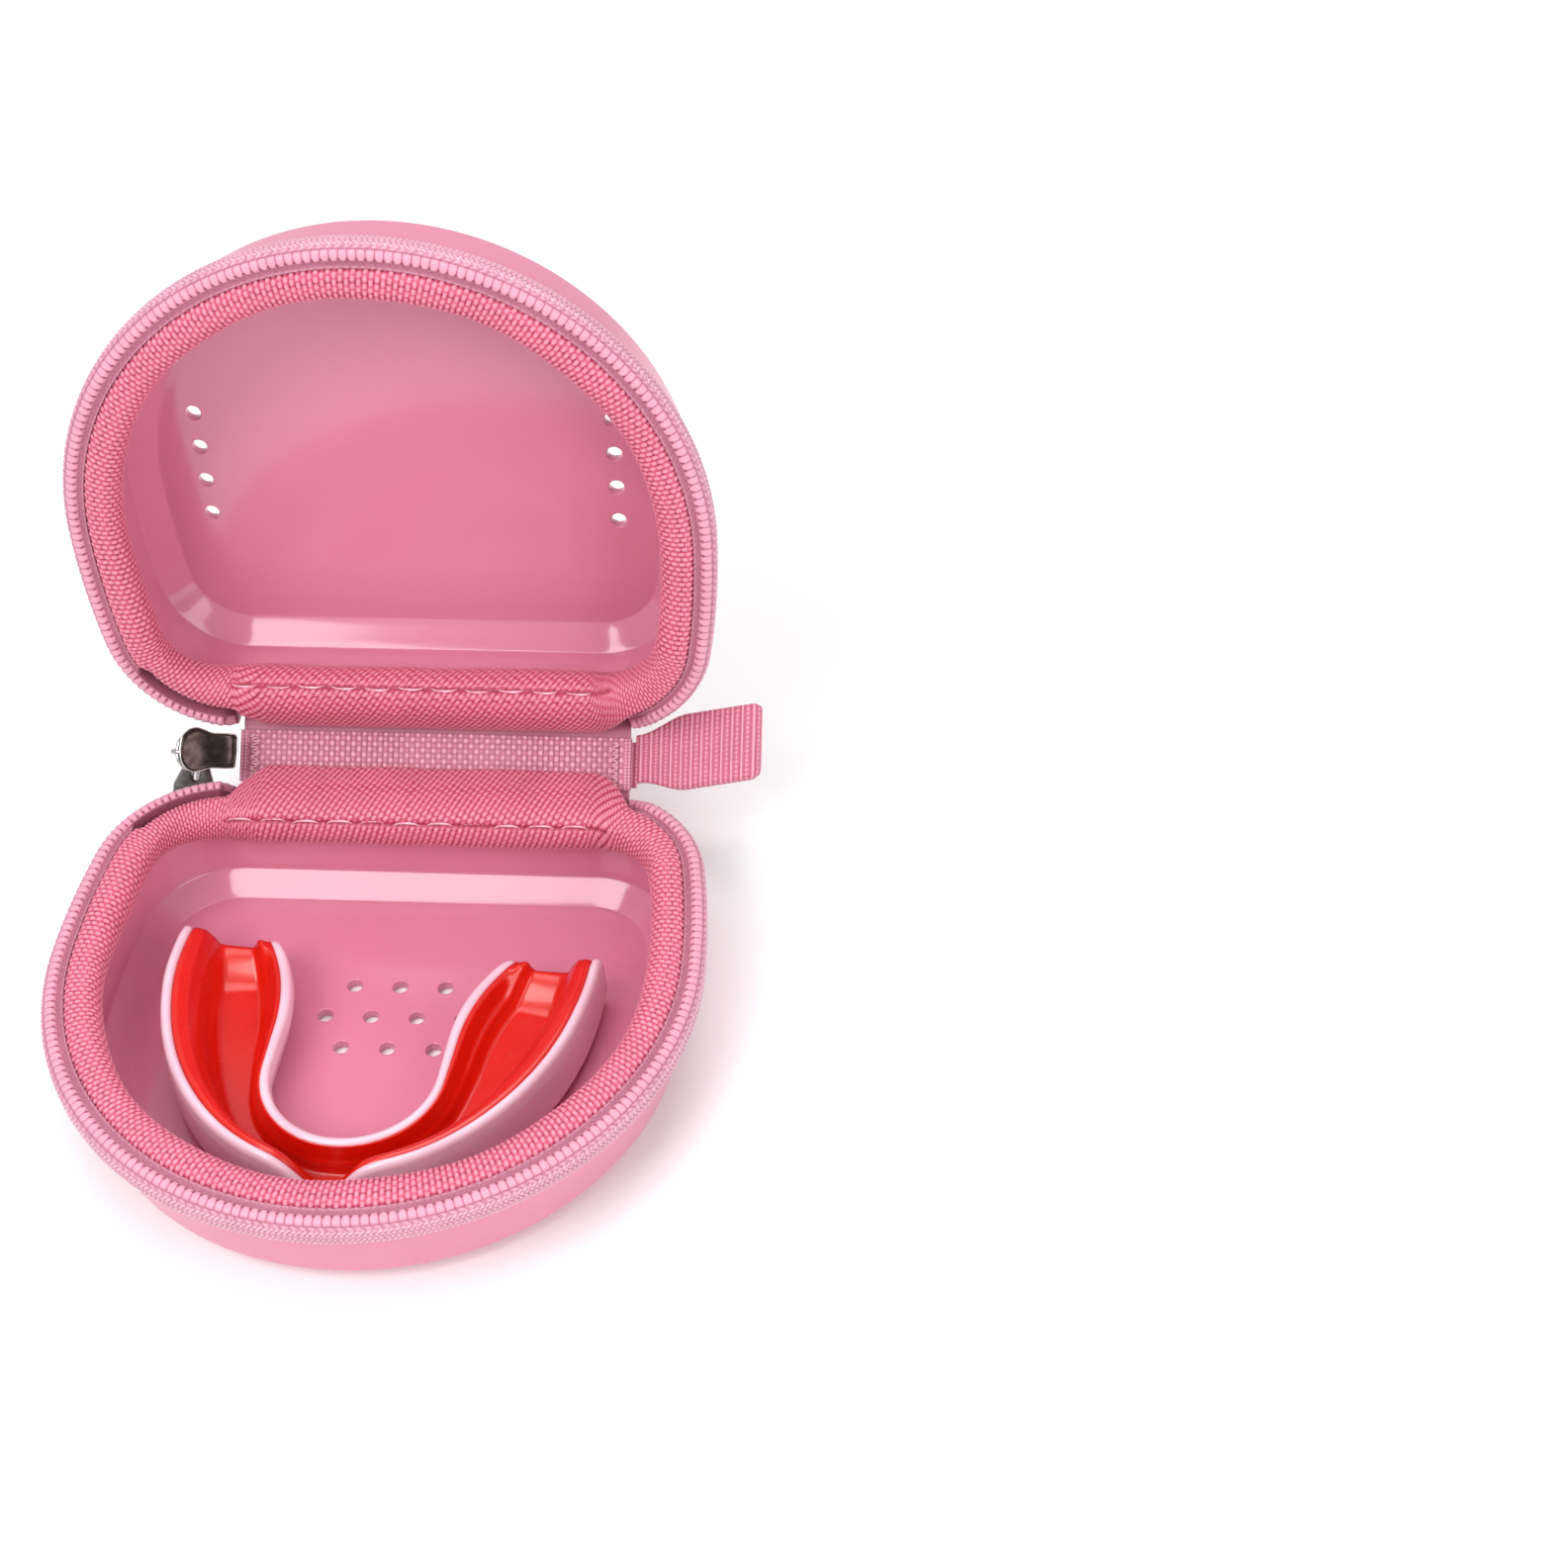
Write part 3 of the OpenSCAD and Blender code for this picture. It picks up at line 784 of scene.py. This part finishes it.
def cloth_sheet(x, line, side, height, thickness):
    """Cloth with its woven height on one side of a line and a plain back: points, faces and relief."""
    step = np.gradient(line, axis=0)
    normal = unit(np.stack([-step[:, 1], step[:, 0]], 1) * side)
    sides = []
    for offset in (height, np.full_like(height, -thickness)):
        yz = line + normal * offset[..., None]
        sides.append(np.concatenate([np.broadcast_to(x[:, None, None], height.shape + (1,)), yz], -1))
    relief = np.concatenate([height / CLOTH_H, np.full_like(height, 0.4)], 1)
    return (*sheet(*sides), relief)


def make_spine_panel():
    """The woven panel inside the hinge, with a corded border at both ends."""
    y, low, high = LOWER_FOLD[1] - 0.15, LOWER_FOLD[2] + 0.25, UPPER_CLOSED[2] - 0.25
    path = np.array([(y, low), (y, high)])
    x, line, along, height = cloth_grid(-SPINE_HALF, SPINE_RIGHT, path, 0.8)
    from_end = np.minimum(x + SPINE_HALF, SPINE_RIGHT - x)[:, None]
    border = 0.75 + 0.25 * np.cos(2 * math.pi * along / 0.5)
    cords = CLOTH_H * border * np.abs(np.sin(math.pi * from_end / 0.55)) ** 0.5
    height = np.where(from_end < 1.1, cords, height)
    points, faces, relief = cloth_sheet(x, line, 1, height, 0.45)
    obj = make_mesh("spine_panel_weave", points, faces, ON_SPINE, {"relief": relief})
    finish_piece(obj, "spine", SPINE, ["spine_panel"])


def make_outer_cloth(half):
    """Half of the outer cloth, from the wall to the spine's middle. It is drawn closed, and each point
    is then turned by its share of the fold: none on the case half, all of it on the spine."""
    y, low = LOWER_FOLD[1:]
    out = y + 0.75
    wall_y = BACK_Y - WALL_IN + 0.9
    corners = [(wall_y, HALF_H - 9.8), (wall_y + 0.9, HALF_H - 8.4), (y - 0.6, low - 1.5)]
    corners += [(y + 0.35, low - 0.5), (out, low + 0.7), (out, low + 2.4), (out, HALF_H)]
    path = curved(corners, 8)
    toward, fold = 1, LOWER_FOLD
    if half == "lid":
        path = np.stack([path[:, 0], 2 * HALF_H - path[:, 1]], 1)
        toward, fold = -1, UPPER_CLOSED
    x, line, _, height = cloth_grid(-SPINE_HALF + 0.4, SPINE_RIGHT - 0.2, path, 0.96)
    loop, faces, relief = cloth_sheet(x, line, -toward, height, 0.35)
    flat = loop.reshape(-1, 3)
    turned = HALF_OPEN * smoothstep((flat[:, 2] - fold[2]) * toward, -FOLD_BEFORE, FOLD_AFTER)
    if half == "base":
        rest = turn_points(flat, LOWER_FOLD, turned)
    else:
        rest = turn_points(flat, UPPER_CLOSED, HALF_OPEN - turned)
        rest = turn_points(rest, LOWER_FOLD, HALF_OPEN)
    obj = make_mesh(f"{half}_hinge_cloth", rest, faces, ON_BASE, {"relief": relief})
    names = [f"{half}_hinge_flap"] + (["spine_cover"] if half == "base" else [])
    finish_piece(obj, None, SPINE, names, (half, "spine", *blend_span(half)))


def turn_points(points, centre, angle):
    """Points turned about an axis along X, by one angle or each by its own."""
    c, s = np.cos(angle), np.sin(angle)
    y, z = points[:, 1] - centre[1], points[:, 2] - centre[2]
    return np.stack([points[:, 0], centre[1] + y * c + z * s, centre[2] - y * s + z * c], 1)


def blend_span(half):
    """Start and end points of the bend between a half and the spine, along the fold's bisector, in metres."""
    if half == "base":
        a = HALF_OPEN / 2
        centre = LOWER_FOLD
        direction = np.array([0, math.sin(a), math.cos(a)])
    else:
        a = HALF_OPEN * 1.5
        centre = placed(UPPER_CLOSED, ON_SPINE)[0]
        direction = -np.array([0, math.sin(a), math.cos(a)])
    start = centre - direction * FOLD_BEFORE
    end = centre + direction * FOLD_AFTER
    return tuple(start * MM), tuple(end * MM)


def make_bar_tacks():
    """Dense zigzag stitches across the spine near both ends, and a line of chain stitches beside each."""
    points, faces, relief = [], [], []
    rings, sides = 5, 6
    y = LOWER_FOLD[1] - 0.72
    for side, end in ((-1, SPINE_HALF), (1, SPINE_RIGHT)):
        for column, wide in ((end - 2.3, 0.42), (end - 4.0, 0.2)):
            steps = 15 if wide > 0.3 else 7
            for i in range(steps):
                z = HALF_H - 3.0 + 6.0 * i / (steps - 1)
                tilt = 0.12 if i % 2 else -0.12
                start = len(points)
                for a in range(rings):
                    t = a / (rings - 1) * 2 - 1
                    for s in range(sides):
                        c = 2 * math.pi * s / sides
                        if wide > 0.3:
                            p = (side * column + t * wide, y - 0.16 * math.cos(t * 1.4), z + tilt * t)
                        else:
                            p = (side * column + 0.05 * t, y - 0.16 * math.cos(t * 1.4), z + 0.38 * t)
                        r = 0.13 * (1 - 0.4 * t * t)
                        points.append((p[0], p[1] + r * math.sin(c), p[2] + r * math.cos(c)))
                        # relief spirals round the thread along the twist of its plies; the thread material
                        # shows it as painted highlight on one side and painted shade on the other
                        relief.append(0.5 + 0.5 * math.sin(c + 3 * t))
                faces += tube_faces(rings, sides, start)
    obj = make_mesh("spine_bar_tack_threads", points, faces, ON_SPINE, {"relief": relief})
    finish_piece(obj, "spine", THREAD, ["spine_bar_tacks"])


def make_hinge():
    """The cloth hinge: woven panel inside, cloth outside that bends at both folds, and bar tacks."""
    make_spine_panel()
    for half in HALVES:
        make_outer_cloth(half)
    make_bar_tacks()


# --- webbing loop
def make_webbing(name, outline, half_w, body, replaces, spread=None):
    """Ribbed webbing along an (x, y) line in the spine's closed frame; spread widens and lifts it."""
    total = arc_length(outline)[-1]
    ribs = int(total / 1.45)
    line = evenly(outline, ribs * 14)
    step = np.gradient(line, axis=0)
    normal = unit(np.stack([step[:, 1], -step[:, 0]], 1))
    w = np.linspace(-1, 1, 66)
    phase = arc_length(line)[:, None] / total * ribs
    cell = phase - np.floor(phase)
    rib = np.exp(-(((cell - 0.5) / 0.13) ** 2))
    across = math.pi * w[None] * half_w / 0.62
    beads = np.exp(-((np.minimum(cell, 1 - cell) / 0.2) ** 2)) * (0.35 + 0.65 * np.abs(np.cos(across)))
    fine = 0.12 * np.abs(np.sin(2 * across))
    relief = np.clip(0.9 * rib + 0.8 * beads + fine, 0, 1)
    thickness, rib_h = 0.5, 0.30
    edge = np.sqrt(np.clip(1 - np.abs(w) ** 16, 0, 1))
    sides = []
    for sign in (1, -1):
        offset = (thickness + rib_h * relief - 0.15) * edge * sign
        xy = line[:, None] + normal[:, None] * offset[..., None]
        wide, lift = spread(xy[..., 0]) if spread else (1.0, 0.0)
        z = HALF_H + w * half_w * wide + lift + np.zeros_like(offset)
        sides.append(np.concatenate([xy, z[..., None]], -1))
    points, faces = sheet(*sides)
    relief = np.concatenate([relief, relief[:, ::-1]], 1)
    obj = make_mesh(name, points, faces, ON_SPINE, {"relief": relief})
    finish_piece(obj, body, WEBBING, replaces)


def loop_spread(x):
    """The loop is gathered at its root, spreads and rises to its end, and has round far corners."""
    root = smoothstep(x, SPINE_RIGHT + 1, SPINE_RIGHT + 8)
    corner = smoothstep(x, SPINE_RIGHT + 17.8, SPINE_RIGHT + 19.0)
    return 0.72 + 0.40 * root - 0.07 * corner, 0.8 + 0.18 * (x - SPINE_RIGHT)


def make_loop():
    """The loop of webbing at the right end of the spine, and its sewn tail behind the spine."""
    y = LOWER_FOLD[1]
    root, end = SPINE_RIGHT + 0.5, SPINE_RIGHT + 0.8 + 18.4
    mid = y + 2.8
    front = [(root, mid - 0.75), (root + 3, mid - 1.0), (root + 8, mid - 1.35), (end - 3.5, mid - 1.45)]
    bend = [(end - 1.6, mid - 1.25), (end - 0.75, mid), (end - 1.6, mid + 1.25)]
    rear = [(end - 3.5, mid + 1.45), (root + 8, mid + 1.25), (root + 3, mid + 0.75), (root, mid + 0.35)]
    make_webbing("loop_webbing", curved(front + bend + rear, 10), 5.0, "loop", ["webbing_loop"], loop_spread)
    tail = [(root + 0.2, y + 1.75), (root - 3, y + 1.75), (root - 7, y + 1.7)]
    make_webbing("loop_tail_webbing", curved(tail, 8), 3.4, "spine", ["loop_anchor"])


# --- zip slider, ring and tab
PARK = math.radians(20)
PULL_HANG = math.radians(58)
BAR_R = CORNER_R + 4.0
CAST_SHIFT, CAST_UP = 0.9, 0.2
INNER_GROW, INNER_SHIFT, INNER_UP = 1.12, 1.25, 0.35


def around_corner(points):
    """From the slider's own frame (along the zip, radius, height) to where the spine rests, in mm."""
    p = np.asarray(points, float).reshape(-1, 3)
    c, s = math.cos(PARK), math.sin(PARK)
    x = -CORNER[0] + p[:, 0] * c - p[:, 1] * s
    y = CORNER[1] + p[:, 0] * s + p[:, 1] * c
    return placed(np.stack([x, y, p[:, 2] + HALF_H], 1), ON_SPINE)


def hung(points):
    """The pull's points, swung out about the bridge's bar, in the slider's frame."""
    p = np.asarray(points, float).reshape(-1, 3)
    c, s = math.cos(PULL_HANG), math.sin(PULL_HANG)
    r, z = p[:, 1] - BAR_R, p[:, 2]
    return np.stack([p[:, 0], BAR_R + r * c - z * s, r * s + z * c], 1)


def bent(points):
    """Bends (arc, radius, height) points round the corner's centre, still in the slider's frame."""
    p = np.asarray(points, float).reshape(-1, 3)
    a = p[:, 0] / CORNER_R
    return np.stack([p[:, 1] * np.sin(a), p[:, 1] * np.cos(a), p[:, 2]], 1)


def slider_outline(n=96):
    """Plate outline: bulbous at the open side, narrow behind."""
    corners = [(-4.3, 0), (-4.05, 1.5), (-3.2, 2.5), (-2.0, 2.85), (-0.8, 2.6), (0.4, 2.25)]
    corners += [(3.0, 2.2), (4.0, 1.9), (4.2, 0)]
    upper = curved(corners, 10)
    lower = (upper * (1, -1))[::-1][1:-1]
    return evenly(np.vstack([upper, lower]), n, True)


def plate_solid(r_low, r_high, grow, centre, edge=0.18):
    """A bent plate with round edges: points and faces, in the slider's frame."""
    outline = slider_outline() * grow
    flat = (0.06, 0.3, 0.55, 0.8, 0.93)
    rings = [(f, r_low) for f in flat]
    rings += [(0.965, r_low + edge * 0.25), (1.0, r_low + edge)]
    rings += [(1.0, r_high - edge), (0.965, r_high - edge * 0.25)]
    rings += [(f, r_high) for f in reversed(flat)]
    points = []
    for f, r in rings:
        for x, z in centre + outline * f:
            points.append((x, r, z))
    return bent(points), tube_faces(len(rings), len(outline))


def swept_bar(centres, width_dir, width, thickness, corner, sides=6):
    """Rectangular bar with round edges along a path; width_dir is the direction of its width."""
    c = np.array(centres, float)
    w = np.array(width_dir, float)
    up = unit(np.cross(unit(np.gradient(c, axis=0)), w))
    section = []
    for sx, sy, a0 in ((1, 1, 0), (-1, 1, 90), (-1, -1, 180), (1, -1, 270)):
        for k in range(sides + 1):
            a = math.radians(a0 + 90 * k / sides)
            x = sx * (width / 2 - corner) + corner * math.cos(a)
            section.append((x, sy * (thickness / 2 - corner) + corner * math.sin(a)))
    section = np.array(section)
    points = c[:, None] + section[None, :, :1] * w + section[None, :, 1:] * up[:, None]
    return points.reshape(-1, 3), tube_faces(*points.shape[:2])


def joined(parts):
    """Several (points, faces) as one."""
    points, faces = [], []
    for p, f in parts:
        start = len(points)
        points += [tuple(q) for q in p]
        faces += [[k + start for k in face] for face in f]
    return points, faces


def wire_loop(path, r, flat, sides):
    """Closed round wire along a closed path; flat is a direction square to the path."""
    c = np.array(path, float)
    flat = np.array(flat, float)
    side = unit(np.cross(unit(np.roll(c, -1, 0) - np.roll(c, 1, 0)), flat))
    a = 2 * math.pi * np.arange(sides) / sides
    points = c[:, None] + r * (np.cos(a)[None, :, None] * flat + np.sin(a)[None, :, None] * side[:, None])
    return points.reshape(-1, 3), grid_faces(len(c), sides, True, True)


def slider_piece(name, solid, body, material, replaces=()):
    """A piece from points and faces in the slider's frame."""
    obj = make_mesh(name, around_corner(solid[0]), solid[1])
    finish_piece(obj, body, material, replaces)


def make_slider():
    """The slider: plate inside the zip, dark as a painted reflection, with a bright rim as a painted
    highlight along its edge, casting outside it, and the bridge over that.
    """
    inner_r, outer_r, plate_t = CORNER_R - 2.7, CORNER_R + 0.6, 0.7
    plate = plate_solid(inner_r, inner_r + plate_t, INNER_GROW, (INNER_SHIFT, INNER_UP))
    slider_piece("slider_inner_plate", plate, "slider", PAINTED_REFLECTION_DARK_METAL, ["slider_body"])
    casting = plate_solid(outer_r, outer_r + plate_t, 1.0, (CAST_SHIFT, CAST_UP))
    stem = [(-3.3, r, 0) for r in (inner_r + 0.5, CORNER_R - 1, outer_r + 0.2)]
    post = swept_bar(stem, (1, 0, 0), 2.0, 0.6, 0.2)
    slider_piece("slider_outer_casting", joined([casting, post]), "slider", NICKEL)
    # a bright nickel wire round the dark plate's edge stands in for the highlight along it: painted highlight
    size, middle = INNER_GROW * 0.995, inner_r + plate_t * 0.55
    edge = [(x * size + INNER_SHIFT, middle, z * size + INNER_UP) for x, z in slider_outline()]
    slider_piece("slider_plate_rim_painted_highlight", wire_loop(bent(edge), 0.16, (0, 1, 0), 10), "slider", NICKEL)
    foot = outer_r + plate_t - 0.35
    arch = filleted([(-2.8, foot), (-2.5, BAR_R), (2.5, BAR_R), (2.8, foot)], [0, 1.2, 1.2, 0], 0.3)
    points, faces = swept_bar([(x, r, 0) for x, r in arch], (0, 0, 1), 1.9, 0.75, 0.3)
    bridge = (points + (CAST_SHIFT * 0.7, 0, 0), faces)
    slider_piece("slider_bridge_arch", bridge, "slider", NICKEL, ["slider_bridge"])


def make_pull():
    """The pull: a rounded wire ring on the bridge's bar, and a flat tab with a round eye on the ring."""
    half, top, drop = 1.5, 1.5, 4.9
    corners = [(-half, 0), (-half, top), (half, top), (half, -drop), (-half, -drop), (-half, 0)]
    path = filleted(corners, [0, 1.4, 1.4, 1.35, 1.35, 0], 0.3, 10)[:-1]
    points, faces = wire_loop([(0, BAR_R + r, z) for r, z in path], 0.45, (1, 0, 0), 14)
    slider_piece("pull_ring_wire", (hung(points), faces), "ring", NICKEL, ["pull_ring"])
    head, w, length, eye_r = 1.9, 3.0, 14.0, 0.8
    straight = length - head - w
    shoulder = [(1.4, head), (2.0, head - 0.6), (w, -3)]
    foot = [(w * math.cos(t), -straight + w * math.sin(t)) for t in np.radians(np.linspace(0, -180, 30))]
    outline = evenly(shoulder + foot + [(-x, y) for x, y in reversed(shoulder)], 120, True)
    eye = np.array([eye_r * p / max(np.linalg.norm(p), 1e-6) for p in outline])
    # share of the way from the eye to the outline, and place in the tab's thickness
    layers = [(1.0, 0.2), (1.0, 0.7), (0.93, 0.88), (0.55, 0.9), (0.12, 0.9)]
    layers += [(0.0, 0.8), (0.0, 0.1), (0.12, 0.0), (0.55, 0.0), (0.93, 0.02)]
    points = []
    for f, t in layers:
        points += [(x, BAR_R - 0.45 + t, z - drop) for x, z in eye + (outline - eye) * f]
    tab = (hung(points), grid_faces(len(layers), len(outline), True, True))
    slider_piece("pull_tab_plate", tab, "tab", DARK_NICKEL, ["pull_tab"])


# --- mouthguard
GUARD_HALF, GUARD_LEN = 30.8, 38.5
GUARD_WIDE_Y, GUARD_BACK_Y = 6.0, 9.0
TONGUE_R, TONGUE_Y = 11.4, -12.9
FLARE_R, FLARE_Y = 26.0, -6.0
GUARD_Z = 1.8
GUARD_TURN = math.radians(-4)
GUARD_SIDE = -1.0


def both_sides(half, n):
    """A half line from the front to the right arm's end, mirrored and sampled evenly from the left end."""
    return evenly(np.vstack([(half * (-1, 1))[::-1], half[1:]]), n)


def outer_line(n):
    """The mouthguard's outer line: a half ellipse with short straight ends."""
    a = np.linspace(-math.pi / 2, 0, 120)
    arc = np.stack([GUARD_HALF * np.cos(a), GUARD_WIDE_Y + GUARD_LEN * np.sin(a)], 1)
    return both_sides(np.vstack([arc, [(GUARD_HALF, GUARD_BACK_Y)]]), n)


def inner_line(n):
    """The line round the tongue's gap, with arms that flare to their ends."""
    a = np.linspace(-math.pi / 2, 0, 60)
    arc = np.stack([TONGUE_R * np.cos(a), TONGUE_Y + TONGUE_R * np.sin(a)], 1)
    b = np.linspace(0, math.asin((GUARD_BACK_Y - FLARE_Y) / FLARE_R), 40)
    flare = np.stack([TONGUE_R + FLARE_R * (1 - np.cos(b)), FLARE_Y + FLARE_R * np.sin(b)], 1)
    return both_sides(np.vstack([arc, flare]), n)


def guard_heights(t):
    """Outer and inner wall heights along the U, t from 0 to 1."""
    side = np.abs(2 * t - 1)
    outer = 10.4 - 0.9 * smoothstep(side, 0.8, 1.0) + 0.3 * np.exp(-(((side - 0.45) / 0.2) ** 2))
    outer = outer - 6.2 * np.exp(-((side / 0.075) ** 2))
    inner = 7.8 - 0.4 * smoothstep(side, 0.7, 1.0)
    return outer, inner


def guard_layer(name, section, material, replaces, n=260, m=150):
    """Sweeps a closed section round the U. The section gives (from the outer wall, height) for one station;
    its last argument is how much the channel's floor rises there."""
    t = np.linspace(0, 1, n)
    outside, inside = outer_line(n), inner_line(n)
    outer_h, inner_h = guard_heights(t)
    points = np.empty((n, m, 3))
    for i in range(n):
        across = inside[i] - outside[i]
        width = np.linalg.norm(across)
        rise = 2.6 * float(smoothstep(abs(2 * t[i] - 1), 0.86, 1.0))
        loop = section(width, outer_h[i], inner_h[i], rise)
        radii = [0] + [0.5] * (len(loop) - 1) + [0]
        loop = evenly(filleted(np.vstack([loop, loop[:1]]), radii, 0.4), m, True)
        points[i, :, :2] = outside[i] + across / width * loop[:, :1]
        points[i, :, 2] = GUARD_Z + loop[:, 1]
    # arm ends are rounded over
    for i in range(6):
        for k in (i, n - 1 - i):
            mean = points[k].mean(0)
            f = 1 - 0.10 * (1 - i / 6) ** 2
            points[k, :, 2] = mean[2] + (points[k, :, 2] - mean[2]) * f
    turned = Matrix.Translation((GUARD_SIDE, 0, 0)) @ Matrix.Rotation(GUARD_TURN, 4, "Z")
    obj = make_mesh(name, points, tube_faces(n, m), turned)
    finish_piece(obj, "mouthguard", material, replaces)


def skin_section(width, outer_h, inner_h, _rise):
    """Pale outer layer: both walls and the bottom. The outer wall bulges below its rim."""
    return np.array([
        (1.5, 0), (0.4, 0.6), (0.0, 2.0), (0.0, outer_h * 0.45), (0.1, outer_h * 0.76), (0.32, outer_h - 0.6),
        (0.8, outer_h), (1.35, outer_h), (1.75, outer_h - 0.5), (1.8, outer_h - 1.4), (1.6, 2.4), (2.6, 1.3),
        (width - 3.0, 1.3), (width - 2.3, 2.2), (width - 1.8, inner_h - 0.9), (width - 1.6, inner_h - 0.2),
        (width - 0.95, inner_h), (width - 0.25, inner_h - 0.4), (width, inner_h * 0.72),
        (width - 0.8, inner_h * 0.35), (width - 1.7, 0.9), (width - 2.2, 0),
    ])


def liner_section(width, outer_h, inner_h, rise):
    """Red inner layer: a wide lip inside the outer wall, the bite channel and the inner ledge."""
    k = np.clip((width - 3.0) / 14.0, 0.3, 1)
    floor = 2.7 + rise

    def out(x):
        return 2.4 + (x - 2.4) * k

    def inn(x):
        return width - 1.5 - (x - 1.5) * k

    lip = max(outer_h, 3.4)
    return np.array([
        (1.8, outer_h - 0.7), (out(2.5), outer_h - 0.45), (out(4.0), max(lip - 0.9, 2.9)),
        (out(5.3), max(lip - 2.6, floor + 0.1)), (out(5.9), min(floor + 1.7, max(lip - 4, floor))),
        (out(6.9), floor),
        (inn(5.2), floor - 0.1), (inn(4.5), min(floor + 0.7, inner_h - 0.2)),
        (inn(4.1), min(floor + 1.7, inner_h - 0.15)), (inn(3.4), min(floor + 2.2, inner_h - 0.1)),
        (inn(2.4), inner_h - 0.5), (inn(1.8), inner_h - 0.35),
        (width - 1.65, inner_h - 0.6), (width - 2.2, 2.2), (width - 3.0, 1.3), (2.6, 1.3), (1.65, 2.4),
    ])


def make_mouthguard():
    """The pale outer layer and the red layer inside it."""
    guard_layer("mouthguard_outer_layer", skin_section, SKIN, ["mouthguard_skin"])
    guard_layer("mouthguard_bite_layer", liner_section, LINER, ["mouthguard_liner"])


# --- floor, light and camera
def make_stage():
    """White floor that rises at the back, and an even white sky."""
    size = 3.0
    points = []
    for i in range(41):
        for j in range(41):
            x, y = (i / 20 - 1) * size, (j / 20 - 1) * size
            points.append((x / MM, y / MM, max(0.0, y - 0.9) ** 2 * 0.9 / MM))
    floor = make_mesh("studio_floor", points, grid_faces(41, 41), solid=False)
    material, tree, shader = nodes_of("pale_floor")
    colour = ramp(tree, noise(tree, 3.0, 2.0), [(0.3, (0.92, 0.92, 0.925)), (0.7, (0.95, 0.95, 0.95))])
    tree.links.new(colour, shader.inputs["Base Color"])
    shader.inputs["Roughness"].default_value = 0.45
    floor.data.materials.append(material)
    world = bpy.data.worlds.new("studio")
    bpy.context.scene.world = world
    world.use_nodes = True
    background = world.node_tree.nodes["Background"]
    background.inputs["Color"].default_value = (1, 1, 1, 1)
    background.inputs["Strength"].default_value = 0.6


def area_light(name, place, aim, size, power):
    """Square softbox at a place in metres, turned to its aim."""
    data = bpy.data.lights.new(name, "AREA")
    data.shape = "RECTANGLE"
    data.size = data.size_y = size
    data.energy = power
    lamp = bpy.data.objects.new(name, data)
    bpy.context.scene.collection.objects.link(lamp)
    lamp.location = Vector(place)
    lamp.rotation_mode = "QUATERNION"
    lamp.rotation_quaternion = (Vector(aim) - Vector(place)).to_track_quat("-Z", "Y")


# The camera: where it stands round the fold, and how far the object sits from the picture's middle
CAMERA_AZIMUTH = math.radians(16.24)
CAMERA_ELEVATION = math.radians(44.26)
CAMERA_ROLL = math.radians(-10.03)
CAMERA_DISTANCE = 367.0
AIM = np.array([0, 28.5, 19.0])
FOCAL_IN_WIDTHS = 1.5945
OFF_LEFT = 0.1505
OFF_DOWN = 0.0076


def make_camera():
    """Camera at the picture's angle; it is turned, and not shifted, to set the object left of the middle."""
    a, e, r = CAMERA_AZIMUTH, CAMERA_ELEVATION, CAMERA_ROLL
    back = Vector((math.sin(a) * math.cos(e), -math.cos(a) * math.cos(e), math.sin(e)))
    right = Vector((math.cos(a), math.sin(a), 0))
    up = back.cross(right)
    right, up = math.cos(r) * right + math.sin(r) * up, -math.sin(r) * right + math.cos(r) * up
    aimed = Matrix((right, up, back)).transposed()
    forward = (OFF_LEFT * right + OFF_DOWN * up - back).normalized()
    turn = (-back).rotation_difference(forward)
    data = bpy.data.cameras.new("camera")
    data.sensor_width = 36.0
    data.lens = 36.0 * FOCAL_IN_WIDTHS
    camera = bpy.data.objects.new("camera", data)
    bpy.context.scene.collection.objects.link(camera)
    camera.rotation_mode = "QUATERNION"
    camera.rotation_quaternion = turn @ aimed.to_quaternion()
    camera.location = (Vector(AIM) + back * CAMERA_DISTANCE) * MM
    data.clip_start, data.clip_end = 0.01, 20
    bpy.context.scene.camera = camera


make_camera()
make_stage()
area_light("key_softbox", (-0.35, -0.45, 0.75), (0, 0, 0.02), 0.5, 5.0)
area_light("fill_softbox", (0.6, -0.5, 0.45), (0, 0, 0.02), 0.6, 3.2)
area_light("top_softbox", (0.0, 0.25, 0.9), (0, 0, 0.02), 0.6, 3.2)

make_shell("base", BASE_VENTS)
make_shell("lid", LID_VENTS)
for name in HALVES:
    make_binding(name)
    make_stitches(name)
    make_tape(name)
    make_coil(name)
make_hinge()
make_loop()
make_slider()
make_pull()
make_mouthguard()

bpy.context.scene.view_settings.view_transform = "Standard"
